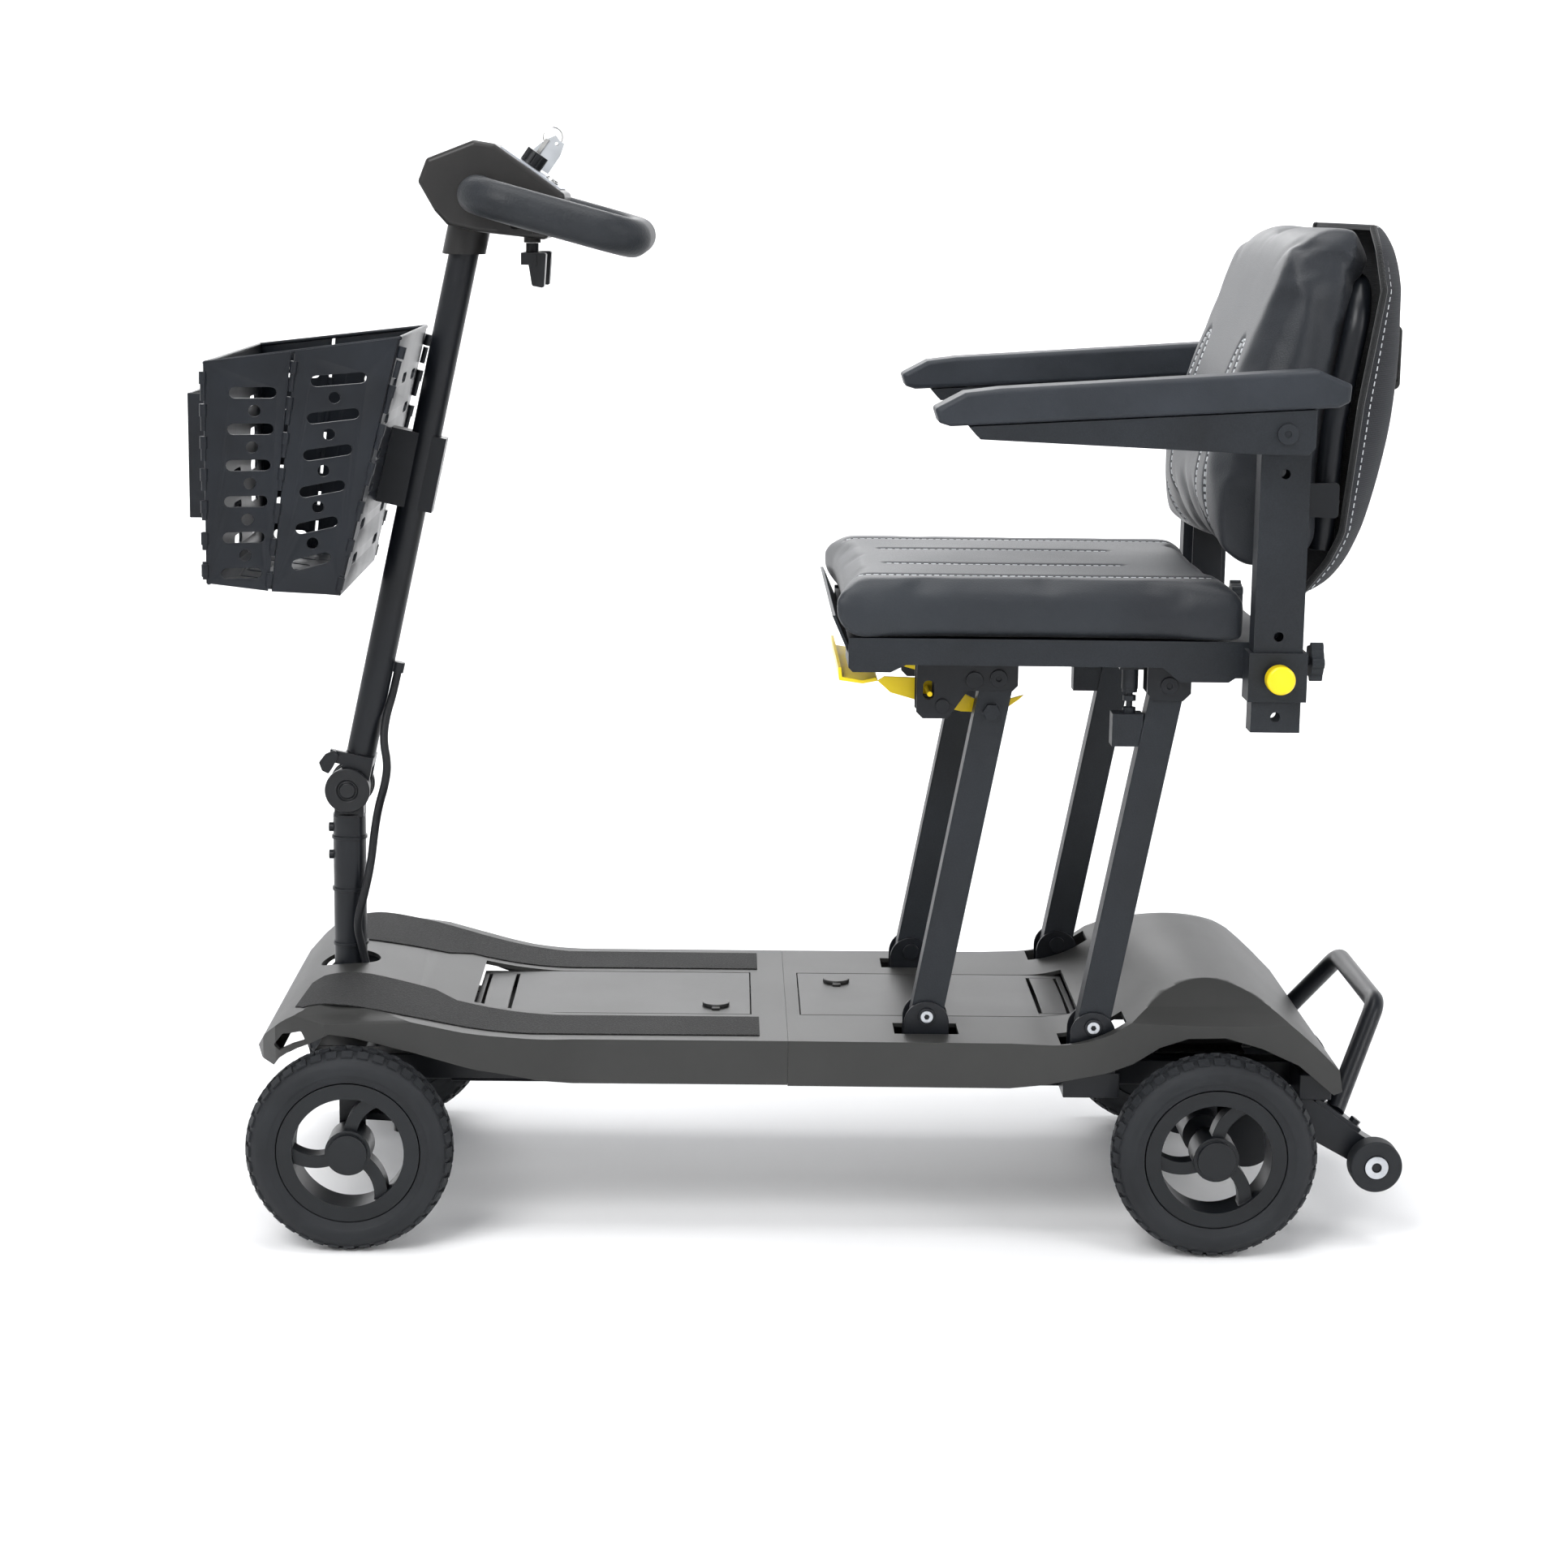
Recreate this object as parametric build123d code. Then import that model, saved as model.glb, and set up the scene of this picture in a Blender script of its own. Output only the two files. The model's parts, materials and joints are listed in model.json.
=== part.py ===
from build123d import *
import math
import os

os.makedirs("parts", exist_ok=True)

# Folding four-wheel mobility scooter. Millimetres, +X forward, +Y the rider's left, +Z up.
# The origin is on the ground, below the middle of the whole scooter.

# Overall places
overall_length = 1130.0
front_axle_x = 407.0
wheelbase = 794.0
rear_axle_x = front_axle_x - wheelbase
track_half = 211.0
seam_x = 6.0
fit = 0.05
gap = 0.3

# Wheels
wheel_radius = 95.0
tyre_width = 43.0
rim_radius = 65.0
rim_width = 36.0
rim_opening = 51.0
hub_radius = 21.0
hub_cap_radius = 17.6
spoke_width = 12.0
spokes = 3
stub_radius = 6.0
drive_shaft_radius = 8.0
tread_depth = 3.0
tread_blocks = 36

# Chassis
rail_y = 118.0
rail_width = 26.0
rail_bottom = 138.0
rail_height = 24.0
rail_wall = 2.0
rail_top = rail_bottom + rail_height
rail_front = 450.0
rail_rear = -470.0
tail_depth = 30.0
tail_half = 178.0
deck_z = 190.0
cover_wall = 4.0
deck_half = 170.0

# Batteries
lid_half = 81.0
lid_length = 264.0
lid_thickness = 3.5
front_lid_x = 40.0
rear_lid_x = -272.0
pack_inset = 4.0
opening_gap = 1.0
strap_width = 24.0
cap_radius = 13.0

# Steering
column_x = 429.0
column_radius = 15.75
column_bottom = 113.0
column_top = 366.0
kingpin_y = 170.0
kingpin_radius = 5.0
kingpin_boss = 11.0
arm_length = 45.0
arm_offset = 10.0
link_radius = 4.0
eye_radius = 8.0

# Tiller
fold_x = 428.0
fold_z = 392.0
fold_radius = 20.0
fold_pin = 6.0
tongue_half = 12.0
ear_thickness = 6.0
disc_radius = 21.5
disc_thickness = 7.0
tube_radius = 14.0
tiller_lean = 12.0
tiller_length = 545.0
tiller_start = 24.0

# Handle loop
loop_radius = 17.5
loop_half = 125.0
loop_front_x = 297.0
loop_front_z = 955.0
loop_rear_x = 156.0
loop_rear_z = 918.0
head_half = 62.0
head_seam_z = 962.0

# Seat legs
foot_z = 206.0
front_foot_x = -124.0
rear_foot_x = -276.0
leg_run_x = -59.0
leg_run_z = 320.0
leg_width = 30.0
leg_depth = 24.0
leg_wall = 2.5
front_leg_y = 128.0
rear_leg_y = 163.0
leg_pin = 5.0
ear_gap = 0.5
ear = 3.0

# Seat
frame_half = 195.0
frame_front = -43.0
frame_rear = -404.0
frame_top = 566.0
sheet = 3.0
cushion_half = 202.0
cushion_front = -32.0
cushion_rear = -398.0
cushion_bottom = frame_top + sheet + gap
cushion_top = 622.0

# Armrests
post_x = -422.0
post_y = 225.0
post_length_x = 44.0
post_width_y = 25.0
post_bottom = 494.0
post_top = 778.0
sleeve_wall = 4.0
sleeve_bottom = 522.0
sleeve_top = 566.0
flip_x = -415.0
flip_z = 762.0
pad_y = 260.0
pad_half = 22.0
bracket_half = 18.0

# Backrest
recline_x = -422.0
recline_z = 697.0
back_half = 185.0

# Trolley wheels and rear handle
trolley_radius = 24.25
trolley_width = 21.0
trolley_y = 190.0
trolley_z = 80.0
trolley_x = trolley_radius - overall_length / 2
handle_radius = 9.2
handle_half = 93.0
handle_z = 210.0
handle_x = handle_radius - overall_length / 2 + 0.4

nodes = {}


def block(x0, x1, y0, y1, z0, z1):
    return Pos((x0 + x1) / 2, (y0 + y1) / 2, (z0 + z1) / 2) * Box(abs(x1 - x0), abs(y1 - y0), abs(z1 - z0))


def rod_y(x, z, y0, y1, radius):
    return Pos(x, (y0 + y1) / 2, z) * Rot(90, 0, 0) * Cylinder(radius, abs(y1 - y0))


def rod_z(x, y, z0, z1, radius):
    return Pos(x, y, (z0 + z1) / 2) * Cylinder(radius, abs(z1 - z0))


def rod_x(y, z, x0, x1, radius):
    return Pos((x0 + x1) / 2, y, z) * Rot(0, 90, 0) * Cylinder(radius, abs(x1 - x0))


def side_face(points, round_by=0.0):
    """A closed outline in the XZ plane, drawn at y = 0."""
    face = make_face(Polyline(*points, close=True))
    return fillet(face.vertices(), round_by) if round_by else face


def side_plate(points, y0, y1, round_by=0.0):
    face = Plane.XZ * side_face(points, round_by)
    return Pos(0, max(y0, y1), 0) * extrude(face, abs(y1 - y0))


def plan_plate(points, z0, z1, round_by=0.0):
    face = make_face(Polyline(*points, close=True))
    if round_by:
        face = fillet(face.vertices(), round_by)
    return Pos(0, 0, z0) * extrude(face, z1 - z0)


def cross_plate(points, x0, x1, round_by=0.0):
    face = make_face(Polyline(*points, close=True))
    if round_by:
        face = fillet(face.vertices(), round_by)
    return Pos(x0, 0, 0) * extrude(Plane.YZ * face, x1 - x0)


def bent_tube(points, radius, bends, close=False):
    path = FilletPolyline(*points, radius=bends, close=close)
    start = path ^ 0
    return sweep(Plane(origin=start.position, z_dir=start.z_axis.direction) * Circle(radius), path)


def mirrored(solid):
    if isinstance(solid, list):
        return [mirrored(one) for one in solid]
    return mirror(solid, about=Plane.XZ)


def pair(name, solid):
    """The rider's left piece as drawn and its mirror image on the right."""
    nodes["left_" + name] = solid
    nodes["right_" + name] = mirrored(solid)


def both(solid):
    return [solid, mirrored(solid)]


# ---- wheels -------------------------------------------------------------
def tyre_solid(x):
    half = tyre_width / 2
    points = [(0, rim_radius), (half - 5, rim_radius), (half, rim_radius + 8), (half, rim_radius + 18)]
    points += [(half - 4, wheel_radius - 6), (half - 12, wheel_radius - 1), (0, wheel_radius)]
    outline = points + [(-u, v) for u, v in reversed(points[1:-1])]
    ring = revolve(Plane.YZ * make_face(Polyline(*outline, close=True)), Axis.Y)
    groove = block(-2.2, 2.2, half - 10, half + 1, wheel_radius - 8 - tread_depth, wheel_radius + 2)
    cuts = [Rot(0, 360 / tread_blocks * k, 0) * groove for k in range(tread_blocks)]
    ring = ring - cuts - [mirrored(cut) for cut in cuts]
    return Pos(x, track_half, wheel_radius) * ring


def rim_solid(x, bore_radius):
    half = rim_width / 2
    ring = Rot(90, 0, 0) * (Cylinder(rim_radius, rim_width) - Cylinder(rim_opening, rim_width))
    hub = Rot(90, 0, 0) * Cylinder(hub_radius, rim_width)
    arc = ThreePointArc((hub_radius - 4, 0), (hub_radius + 18, 8), (rim_opening + 2, 28))
    spoke = Plane.XZ * trace(arc, spoke_width)
    spoke = Pos(0, half - 6, 0) * extrude(spoke, rim_width - 18)
    spoke = spoke & (Rot(90, 0, 0) * Cylinder(rim_opening + 1, rim_width))
    wheel = ring + hub + [Rot(0, 360 / spokes * k + 25, 0) * spoke for k in range(spokes)]
    wheel -= Rot(90, 0, 0) * Cylinder(bore_radius, rim_width + 2)
    wheel -= Pos(0, half - 6, 0) * Rot(90, 0, 0) * Cylinder(nut_recess, 14)
    return Pos(x, track_half, wheel_radius) * wheel


nut_recess = 13.0
rim_face = track_half + rim_width / 2
nut_seat = rim_face - nut_recess
axle_end = rim_face - 2


def hub_cap_solid(x):
    cap = rod_y(x, wheel_radius, rim_face, rim_face + 4, hub_cap_radius)
    return cap + rod_y(x, wheel_radius, rim_face - 1.5, rim_face, nut_recess)


def axle_nut(x, reach):
    nut = Pos(x, nut_seat + 3.5, wheel_radius) * Rot(90, 0, 0) * extrude(RegularPolygon(10, 6), 3.5, both=True)
    return nut - rod_y(x, wheel_radius, nut_seat - 1, nut_seat + 9, reach)


drive_shaft = rod_y(rear_axle_x, wheel_radius, 2, axle_end, drive_shaft_radius)
pair("front_tyre", tyre_solid(front_axle_x))
pair("front_rim", rim_solid(front_axle_x, stub_radius + fit) + hub_cap_solid(front_axle_x))
pair("rear_tyre", tyre_solid(rear_axle_x))
pair("rear_rim", [rim_solid(rear_axle_x, drive_shaft_radius) + hub_cap_solid(rear_axle_x),
                  drive_shaft + axle_nut(rear_axle_x, drive_shaft_radius)])

# ---- chassis ------------------------------------------------------------
rail_in = rail_y - rail_width / 2
rail_out = rail_y + rail_width / 2


def box_tube_x(x0, x1, y0, y1, z0, z1, wall):
    outer = block(x0, x1, y0, y1, z0, z1)
    return outer - block(x0 - 1, x1 + 1, y0 + wall, y1 - wall, z0 + wall, z1 - wall)


rail = box_tube_x(rail_rear, rail_front, rail_in, rail_out, rail_bottom, rail_top, rail_wall)
nodes["frame_side_rails"] = both(rail)

bushing_radius = column_radius + 6
column_block = block(column_x - 26, column_x + 20, -rail_in, rail_in, rail_bottom, rail_top)
column_block -= rod_z(column_x, 0, rail_bottom - 1, rail_top + 1, bushing_radius)
bar_depth = 22.0
lid_ends = [(front_lid_x + lid_length + bar_depth / 2 + 1, bar_depth), (seam_x + 10, 36),
            (rear_lid_x - bar_depth / 2 - 1, bar_depth)]
bars = [block(x - d / 2, x + d / 2, -rail_in, rail_in, rail_bottom, rail_top) for x, d in lid_ends]
tail = block(rail_rear - tail_depth, rail_rear, -tail_half, tail_half, rail_bottom, rail_top)
foot_span = 26.0
outriggers = [s for s in both(block(rear_foot_x - foot_span, rear_foot_x + foot_span, rail_out,
                                    rear_leg_y + leg_depth / 2 + 2, rail_bottom, rail_top))]

bushing = rod_z(column_x, 0, rail_bottom, rail_top + 6, bushing_radius)
bushing += rod_z(column_x, 0, rail_top, rail_top + 6, bushing_radius + 4)
bushing -= rod_z(column_x, 0, rail_bottom - 1, rail_top + 8, column_radius + fit)

pan_thickness = 2.0
pan_front = front_lid_x + lid_length + 17
pan_rear = rear_lid_x - 17
belly_pan = block(pan_rear, pan_front, -rail_out, rail_out, rail_bottom - pan_thickness, rail_bottom)
nodes["frame_cross_members"] = [column_block, tail, bushing, belly_pan] + bars + outriggers

beam_bottom = rail_bottom - 18
beam_x = front_axle_x - 9
beam = block(beam_x - 12, beam_x + 12, -kingpin_y, kingpin_y, beam_bottom, rail_bottom)
for side in (1, -1):
    beam += rod_z(front_axle_x, side * kingpin_y, beam_bottom, rail_top - 2, kingpin_boss)
    beam -= rod_z(front_axle_x, side * kingpin_y, beam_bottom - 1, rail_top, kingpin_radius + fit)
nodes["front_axle_beam"] = beam

# ---- steering -----------------------------------------------------------
arm_z = column_bottom
arm_height = 6.0
web_y = kingpin_y + kingpin_boss + 2
web_face = rim_face - rim_width - 4.6
knuckle = block(front_axle_x - 12, front_axle_x + 12, web_y, web_face, wheel_radius - 18, rail_top + 4)
for low, high in ((arm_z, beam_bottom - gap), (rail_top - 2 + gap, rail_top + 4)):
    knuckle += block(front_axle_x - 12, front_axle_x + 12, kingpin_y, web_y, low, high)
    knuckle += rod_z(front_axle_x, kingpin_y, low, high, 12)
knuckle += rod_z(front_axle_x, kingpin_y, arm_z, rail_top + 4, kingpin_radius)
knuckle += rod_y(front_axle_x, wheel_radius, web_face, axle_end, stub_radius)
knuckle += rod_y(front_axle_x, wheel_radius, web_face, rim_face - rim_width - 0.5, stub_radius + 5)
pin_x = front_axle_x - arm_length
pin_y = kingpin_y + arm_offset
steer_arm = plan_plate([(front_axle_x, kingpin_y - 9), (pin_x, pin_y - 8), (pin_x - 8, pin_y),
                        (pin_x, pin_y + 8), (front_axle_x, kingpin_y + 10)], arm_z, beam_bottom - gap)
knuckle += steer_arm
open_pivot = 0.5
knuckle -= rod_z(pin_x, pin_y, arm_z - 1, beam_bottom + 1, link_radius + open_pivot)
pair("knuckle", [knuckle, axle_nut(front_axle_x, stub_radius)])

pitman_x = column_x - arm_length
column = rod_z(column_x, 0, column_bottom, column_top, column_radius)
column -= rod_z(column_x, 0, column_bottom + 40, column_top - 14, column_radius - 2.5)
pitman = plan_plate([(column_x, -15), (column_x, 15), (pitman_x, arm_offset + 8), (pitman_x - 8, arm_offset),
                     (pitman_x - 8, -arm_offset), (pitman_x, -arm_offset - 8)], arm_z, beam_bottom - gap)
for side in (1, -1):
    pitman -= rod_z(pitman_x, side * arm_offset, arm_z - 1, beam_bottom + 1, link_radius + fit)
column += pitman
column += rod_z(column_x, 0, rail_top + 6 + gap, rail_top + 14, column_radius + 2.5)
tongue = block(fold_x - 14, fold_x + 14, -tongue_half, tongue_half, column_top - 2, fold_z)
tongue += rod_y(fold_x, fold_z, -tongue_half, tongue_half, fold_radius - 1)
column += tongue - rod_y(fold_x, fold_z, -20, 20, fold_pin + fit)

rod_top = arm_z - 2
tie_start = (pitman_x, arm_offset)
tie_end = (pin_x, pin_y)
tie = Edge.make_line((*tie_start, rod_top - 4), (*tie_end, rod_top - 4))
tie_rod = sweep(Plane(origin=tie @ 0, z_dir=tie % 0) * Circle(link_radius), tie)
for x, y in (tie_start, tie_end):
    tie_rod += rod_z(x, y, rod_top - 8, rod_top, eye_radius)
    tie_rod += rod_z(x, y, rod_top, beam_bottom - gap - 0.5, link_radius)
pair("tie_rod", tie_rod)

bolt_z = [column_top - 14, column_top - 41]
column_bolts = [rod_x(0, z, column_x + column_radius - 1, column_x + column_radius + 4, 4.5) for z in bolt_z]

# ---- front and rear covers ----------------------------------------------
front_top = [(seam_x, deck_z), (215, deck_z), (262, 193), (303, 200), (345, 210), (390, 219.5), (430, 223)]
front_nose = [(455, 217), (476, 203), (490, 189), (499, 173), (494, 165), (480, 163.5)]
front_arch = [(474, 172), (466, 178.5), (456, 184.5), (444, 190), (426, 200), (404, 197), (354, 184), (292, 164), (236, 151), (205, 148)]
front_plan = [(seam_x, deck_half + 7), (205, deck_half + 7), (262, 184), (305, 196), (360, 203), (430, 205),
              (462, 194), (478, 181), (492, 160), (500, 140)]
rear_top = [(seam_x, deck_z), (-232, deck_z), (-262, 193), (-292, 204), (-326, 226), (-360, 240), (-390, 243),
            (-425, 234), (-458, 213), (-484, 190), (-504, 170)]
rear_arch = [(-507, 150), (-499, 147), (-465, 176), (-430, 192), (-396, 202), (-362, 201), (-336, 192),
             (-312, 176), (-287, 166), (-234, 152), (-200, 147)]
rear_plan = [(seam_x, deck_half + 7), (-200, deck_half + 9), (-250, 186), (-292, 195), (-380, 199), (-470, 197),
             (-508, 192)]


def smooth_top(tops):
    """A flat stretch, then one smooth curve that leaves it level."""
    level = (tops[1][0] - tops[0][0], 0)
    last = (tops[-1][0] - tops[-2][0], tops[-1][1] - tops[-2][1])
    return [Line(tops[0], tops[1]), Spline(*tops[1:], tangents=[level, last])]


def spline_outline(tops, ends):
    """Smooth top curve closed by a straight-sided lower outline."""
    return smooth_top(tops) + [Polyline(tops[-1], *ends, tops[0])]


def cover(tops, ends, plan, crown):
    profile = make_face(spline_outline(tops, ends))
    body = extrude(Plane.XZ * profile, 260, both=True)
    outline = plan + [(x, -y) for x, y in reversed(plan)]
    body &= Pos(0, 0, 90) * extrude(make_face(Polyline(*outline, close=True)), 200)
    return body & cross_plate(crown, -600, 600)


crown_side = [(-230, 90), (-230, 195), (-197, 214), (-178, 226), (-130, 246), (130, 246), (178, 226), (197, 214),
              (230, 195), (230, 90)]
inner_crown = [(y * 0.98, z - cover_wall) for y, z in crown_side]


def inset(points, drop, towards):
    return [(x + towards, z - drop) for x, z in points]


front_outer = cover(front_top + front_nose[:3], front_nose[3:] + front_arch + [(seam_x, 148)], front_plan, crown_side)
front_inner_top = inset(front_top, cover_wall, 0) + [(453, 213), (472, 199), (485, 186.5)]
front_inner_top[0] = (seam_x - 5, deck_z - cover_wall)
front_inner = cover(front_inner_top, [(492, 170), (488, 166.5), (470, 166), (455, 120), (seam_x - 5, 120)],
                    [(seam_x - 5, deck_half + 3)] + [(x - (4 if x > 470 else 0), y - cover_wall)
                                                     for x, y in front_plan[1:]], inner_crown)
front_cover = front_outer - front_inner
lid_window = block(front_lid_x - opening_gap, front_lid_x + lid_length + opening_gap, -lid_half - opening_gap,
                   lid_half + opening_gap, deck_z - 30, deck_z + 10)
front_cover -= lid_window
hole_radius = column_radius + 13
front_cover -= rod_z(column_x, 0, 190, 240, hole_radius)
for side in (1, -1):
    front_cover -= side_plate([(448, 193), (461, 188), (474, 179), (480, 183), (470, 196), (452, 201)], side * 120, side * 215, 2)
nodes["front_deck_cover"] = front_cover

rear_outer = cover(rear_top, rear_arch + [(seam_x, 147)], rear_plan, crown_side)
rear_inner_top = inset(rear_top[:-2], cover_wall, 0) + [(-481, 186), (-506, 160)]
rear_inner_top[0] = (seam_x + 5, deck_z - cover_wall)
rear_inner = cover(rear_inner_top, [(-520, 120), (seam_x + 5, 120)],
                   [(seam_x + 5, deck_half + 3)] + [(x, y - cover_wall) for x, y in rear_plan[1:-1]]
                   + [(-520, 187)], inner_crown)
rear_cover = rear_outer - rear_inner
rear_cover -= block(rear_lid_x - opening_gap, rear_lid_x + lid_length + opening_gap, -lid_half - opening_gap,
                    lid_half + opening_gap, deck_z - 30, deck_z + 10)
slot_half = 30.0
slot_side = leg_depth / 2 + ear_gap + ear + 4
for side in (1, -1):
    for x, y in ((front_foot_x, front_leg_y), (rear_foot_x, rear_leg_y)):
        rear_cover -= block(x - slot_half, x + slot_half, side * y - slot_side, side * y + slot_side, 160, 230)
rear_cover = rear_cover.solids().sort_by(SortBy.VOLUME)[-1]
nodes["rear_deck_cover"] = Pos(-gap / 2, 0, 0) * rear_cover

# ---- grip pads on the front deck -----------------------------------------
pad_lift = 1.2
grip_plan = [(32, 94), (32, 160), (225, 161), (300, 176), (360, 186), (420, 188), (452, 180), (462, 160),
             (456, 84), (446, 70), (402, 66), (340, 74), (318, 94)]
grip_top = [(x, z + pad_lift) for x, z in front_top + front_nose[:3]]
grip_low = [(x, z + 0.05) for x, z in front_top + front_nose[:3]]
grip_edges = smooth_top(grip_top) + [Line(grip_top[-1], grip_low[-1])] + smooth_top(grip_low)
grip_band = make_face(grip_edges + [Line(grip_low[0], grip_top[0])])
grip = extrude(Plane.XZ * grip_band, 260, both=True)
grip = grip & (Pos(0, 0, 150) * extrude(make_face(Polyline(*grip_plan, close=True)), 120))
nodes["grip_pads"] = both(grip)

# ---- battery packs ------------------------------------------------------
def battery(x0, cap_x, cap_y, strap_x):
    x1 = x0 + lid_length
    pack = block(x0 + pack_inset, x1 - pack_inset, -lid_half + pack_inset, lid_half - pack_inset,
                 rail_bottom + gap, deck_z - lid_thickness)
    pack += block(x0, x1, -lid_half, lid_half, deck_z - lid_thickness, deck_z)
    pack -= block(strap_x - strap_width / 2 - 3, strap_x + strap_width / 2 + 3, -lid_half + 12, lid_half - 12,
                  deck_z - 14, deck_z + 1)
    cap = rod_z(cap_x, cap_y, deck_z, deck_z + 3.5, cap_radius)
    cap += block(cap_x - 4, cap_x + 4, cap_y + cap_radius - 2, cap_y + cap_radius + 6, deck_z, deck_z + 2)
    arc = ThreePointArc((-lid_half + 12, deck_z - 1), (0, deck_z + 1), (lid_half - 12, deck_z - 1))
    strap = Pos(strap_x - strap_width / 2, 0, 0) * extrude(Plane.YZ * trace(arc, 2.0), strap_width)
    return pack, cap, strap


for place, x0, cap_x, cap_y, strap_x in (("front", front_lid_x, 73, 48, front_lid_x + lid_length - 20),
                                         ("rear", rear_lid_x, -46, -48, rear_lid_x + 20)):
    pack, cap, strap = battery(x0, cap_x, cap_y, strap_x)
    nodes[place + "_battery_pack"] = [pack, cap, strap]

# ---- rear drive ---------------------------------------------------------
housing_radius = 20.0
housing_half = 150.0
housing = rod_y(rear_axle_x, wheel_radius, -housing_half, housing_half, housing_radius)
housing += rod_y(rear_axle_x, wheel_radius, -34, 30, 36)
for side in (1, -1):
    hanger = block(rear_axle_x - 16, rear_axle_x + 16, side * rail_y - 6, side * rail_y + 6, wheel_radius, rail_bottom)
    housing += hanger
housing -= rod_y(rear_axle_x, wheel_radius, -housing_half - 1, housing_half + 1, drive_shaft_radius + fit)
motor_radius = 28.0
motor_x = rear_axle_x - 51.0
motor_z = 73.0
motor = rod_y(motor_x, motor_z, -70, 90, motor_radius)
motor += block(motor_x, rear_axle_x - 30, -30, 26, wheel_radius - 8, wheel_radius + 20)
motor -= rod_y(rear_axle_x, wheel_radius, -36, 32, 36)
motor += block(motor_x - 10, motor_x + 10, 40, 60, motor_z + 22, rail_top)
motor += block(rail_rear, motor_x + 10, 40, 60, rail_bottom, rail_top)
nodes["drive_unit"] = [housing, motor]
controller_top = 212.0
nodes["motor_controller"] = block(-440, rear_lid_x - 62, -84, 84, rail_top, controller_top) + block(
    -430, rear_lid_x - 70, -rail_in - 4, rail_in + 4, rail_top, rail_top + 3)

# ---- trolley wheels, arms and rear handle --------------------------------
arm_in = 150.0
arm_out = trolley_y - trolley_width / 2 - 3
arm_outline = [(-458, rail_bottom), (-483, rail_bottom), (-530, 104), (trolley_x - 9, trolley_z + 12),
               (trolley_x - 12, trolley_z), (trolley_x - 7, trolley_z - 11), (trolley_x + 8, trolley_z - 9),
               (-515, 82), (-486, 98), (-458, 116)]
trolley_arm = side_plate(arm_outline, arm_in, arm_out)
bolt_radius = 4.0
bolt_end = trolley_y + trolley_width / 2
trolley_arm += rod_y(trolley_x, trolley_z, arm_out, arm_out + 2.5, 7)
trolley_arm += rod_y(trolley_x, trolley_z, arm_out + 2.5, bolt_end, bolt_radius)
bearing_radius = 11.0
roller = rod_y(trolley_x, trolley_z, trolley_y - trolley_width / 2, bolt_end, trolley_radius)
roller = fillet(roller.edges().filter_by(GeomType.CIRCLE), 2.5)
roller -= rod_y(trolley_x, trolley_z, trolley_y - trolley_width, bolt_end + 1, bearing_radius + fit)
pair("trolley_wheel", roller)
bearing = rod_y(trolley_x, trolley_z, trolley_y - trolley_width / 2, bolt_end - 1, bearing_radius)
bearing -= rod_y(trolley_x, trolley_z, trolley_y - trolley_width, bolt_end, bolt_radius)
nodes["trolley_arms"] = both(trolley_arm) + both(bearing)

foot_y = 163.0
slope = math.degrees(math.atan2(rail_bottom - 104, 530 - 483))
foot_mid_x, foot_mid_z = -506.5, (rail_bottom + 104) / 2
foot_plate = Pos(foot_mid_x, foot_y, foot_mid_z) * Rot(0, -slope, 0) * Pos(0, 0, 2.0) * Box(52, 26, 4)
handle_points = [(foot_mid_x, foot_y, foot_mid_z + 3), (handle_x, handle_half, handle_z),
                 (handle_x, -handle_half, handle_z), (foot_mid_x, -foot_y, foot_mid_z + 3)]
rear_handle = bent_tube(handle_points, handle_radius, 26)
rear_handle = rear_handle - both(trolley_arm)
rear_handle += both(foot_plate)
for offset in (-20, 20):
    hex_bolt = Pos(foot_mid_x, foot_y, foot_mid_z) * Rot(0, -slope, 0) * Pos(offset, 0, 4) * extrude(
        RegularPolygon(5.5, 6), 4)
    rear_handle += both(hex_bolt)
rear_handle -= [trolley_arm, mirrored(trolley_arm), tail]
nodes["rear_handle"] = rear_handle

# ---- seat legs ----------------------------------------------------------
leg_length = math.hypot(leg_run_x, leg_run_z)
leg_tilt = math.degrees(math.atan2(leg_run_x, leg_run_z))


def leg_solid(x, y, pin_clearance_top):
    half = leg_width / 2
    body = block(-half, half, -leg_depth / 2, leg_depth / 2, 0, leg_length)
    body += rod_y(0, 0, -leg_depth / 2, leg_depth / 2, half)
    body += rod_y(0, leg_length, -leg_depth / 2, leg_depth / 2, half)
    body -= block(-half + leg_wall, half - leg_wall, -leg_depth / 2 + leg_wall, leg_depth / 2 - leg_wall,
                  25, leg_length - 75)
    body -= rod_y(0, 0, -leg_depth, leg_depth, leg_pin + fit)
    body -= rod_y(0, leg_length, -leg_depth, leg_depth, leg_pin + pin_clearance_top)
    return Pos(x, y, foot_z) * Rot(0, leg_tilt, 0) * body


def along_leg(x, distance, ahead):
    """A point near a leg: distance up from its foot pin, and ahead of its centre line."""
    tilt = math.radians(leg_tilt)
    return (x + distance * math.sin(tilt) + ahead * math.cos(tilt),
            foot_z + distance * math.cos(tilt) - ahead * math.sin(tilt))


front_leg = leg_solid(front_foot_x, front_leg_y, open_pivot)
stud_x, stud_z = along_leg(front_foot_x, leg_length - 32, 0)
latch_stud = rod_y(stud_x, stud_z, front_leg_y - leg_depth / 2 - 7, front_leg_y + leg_depth / 2 + 1, 5)
front_leg -= latch_stud
nut = Pos(stud_x, front_leg_y + leg_depth / 2 + 3, stud_z) * Rot(90, 0, 0) * extrude(RegularPolygon(8, 6), 3, both=True)
latch_stud += nut - rod_y(stud_x, stud_z, front_leg_y, front_leg_y + leg_depth / 2 + 0.5, 12)
nodes["front_legs"] = both(front_leg) + both(latch_stud)

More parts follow.
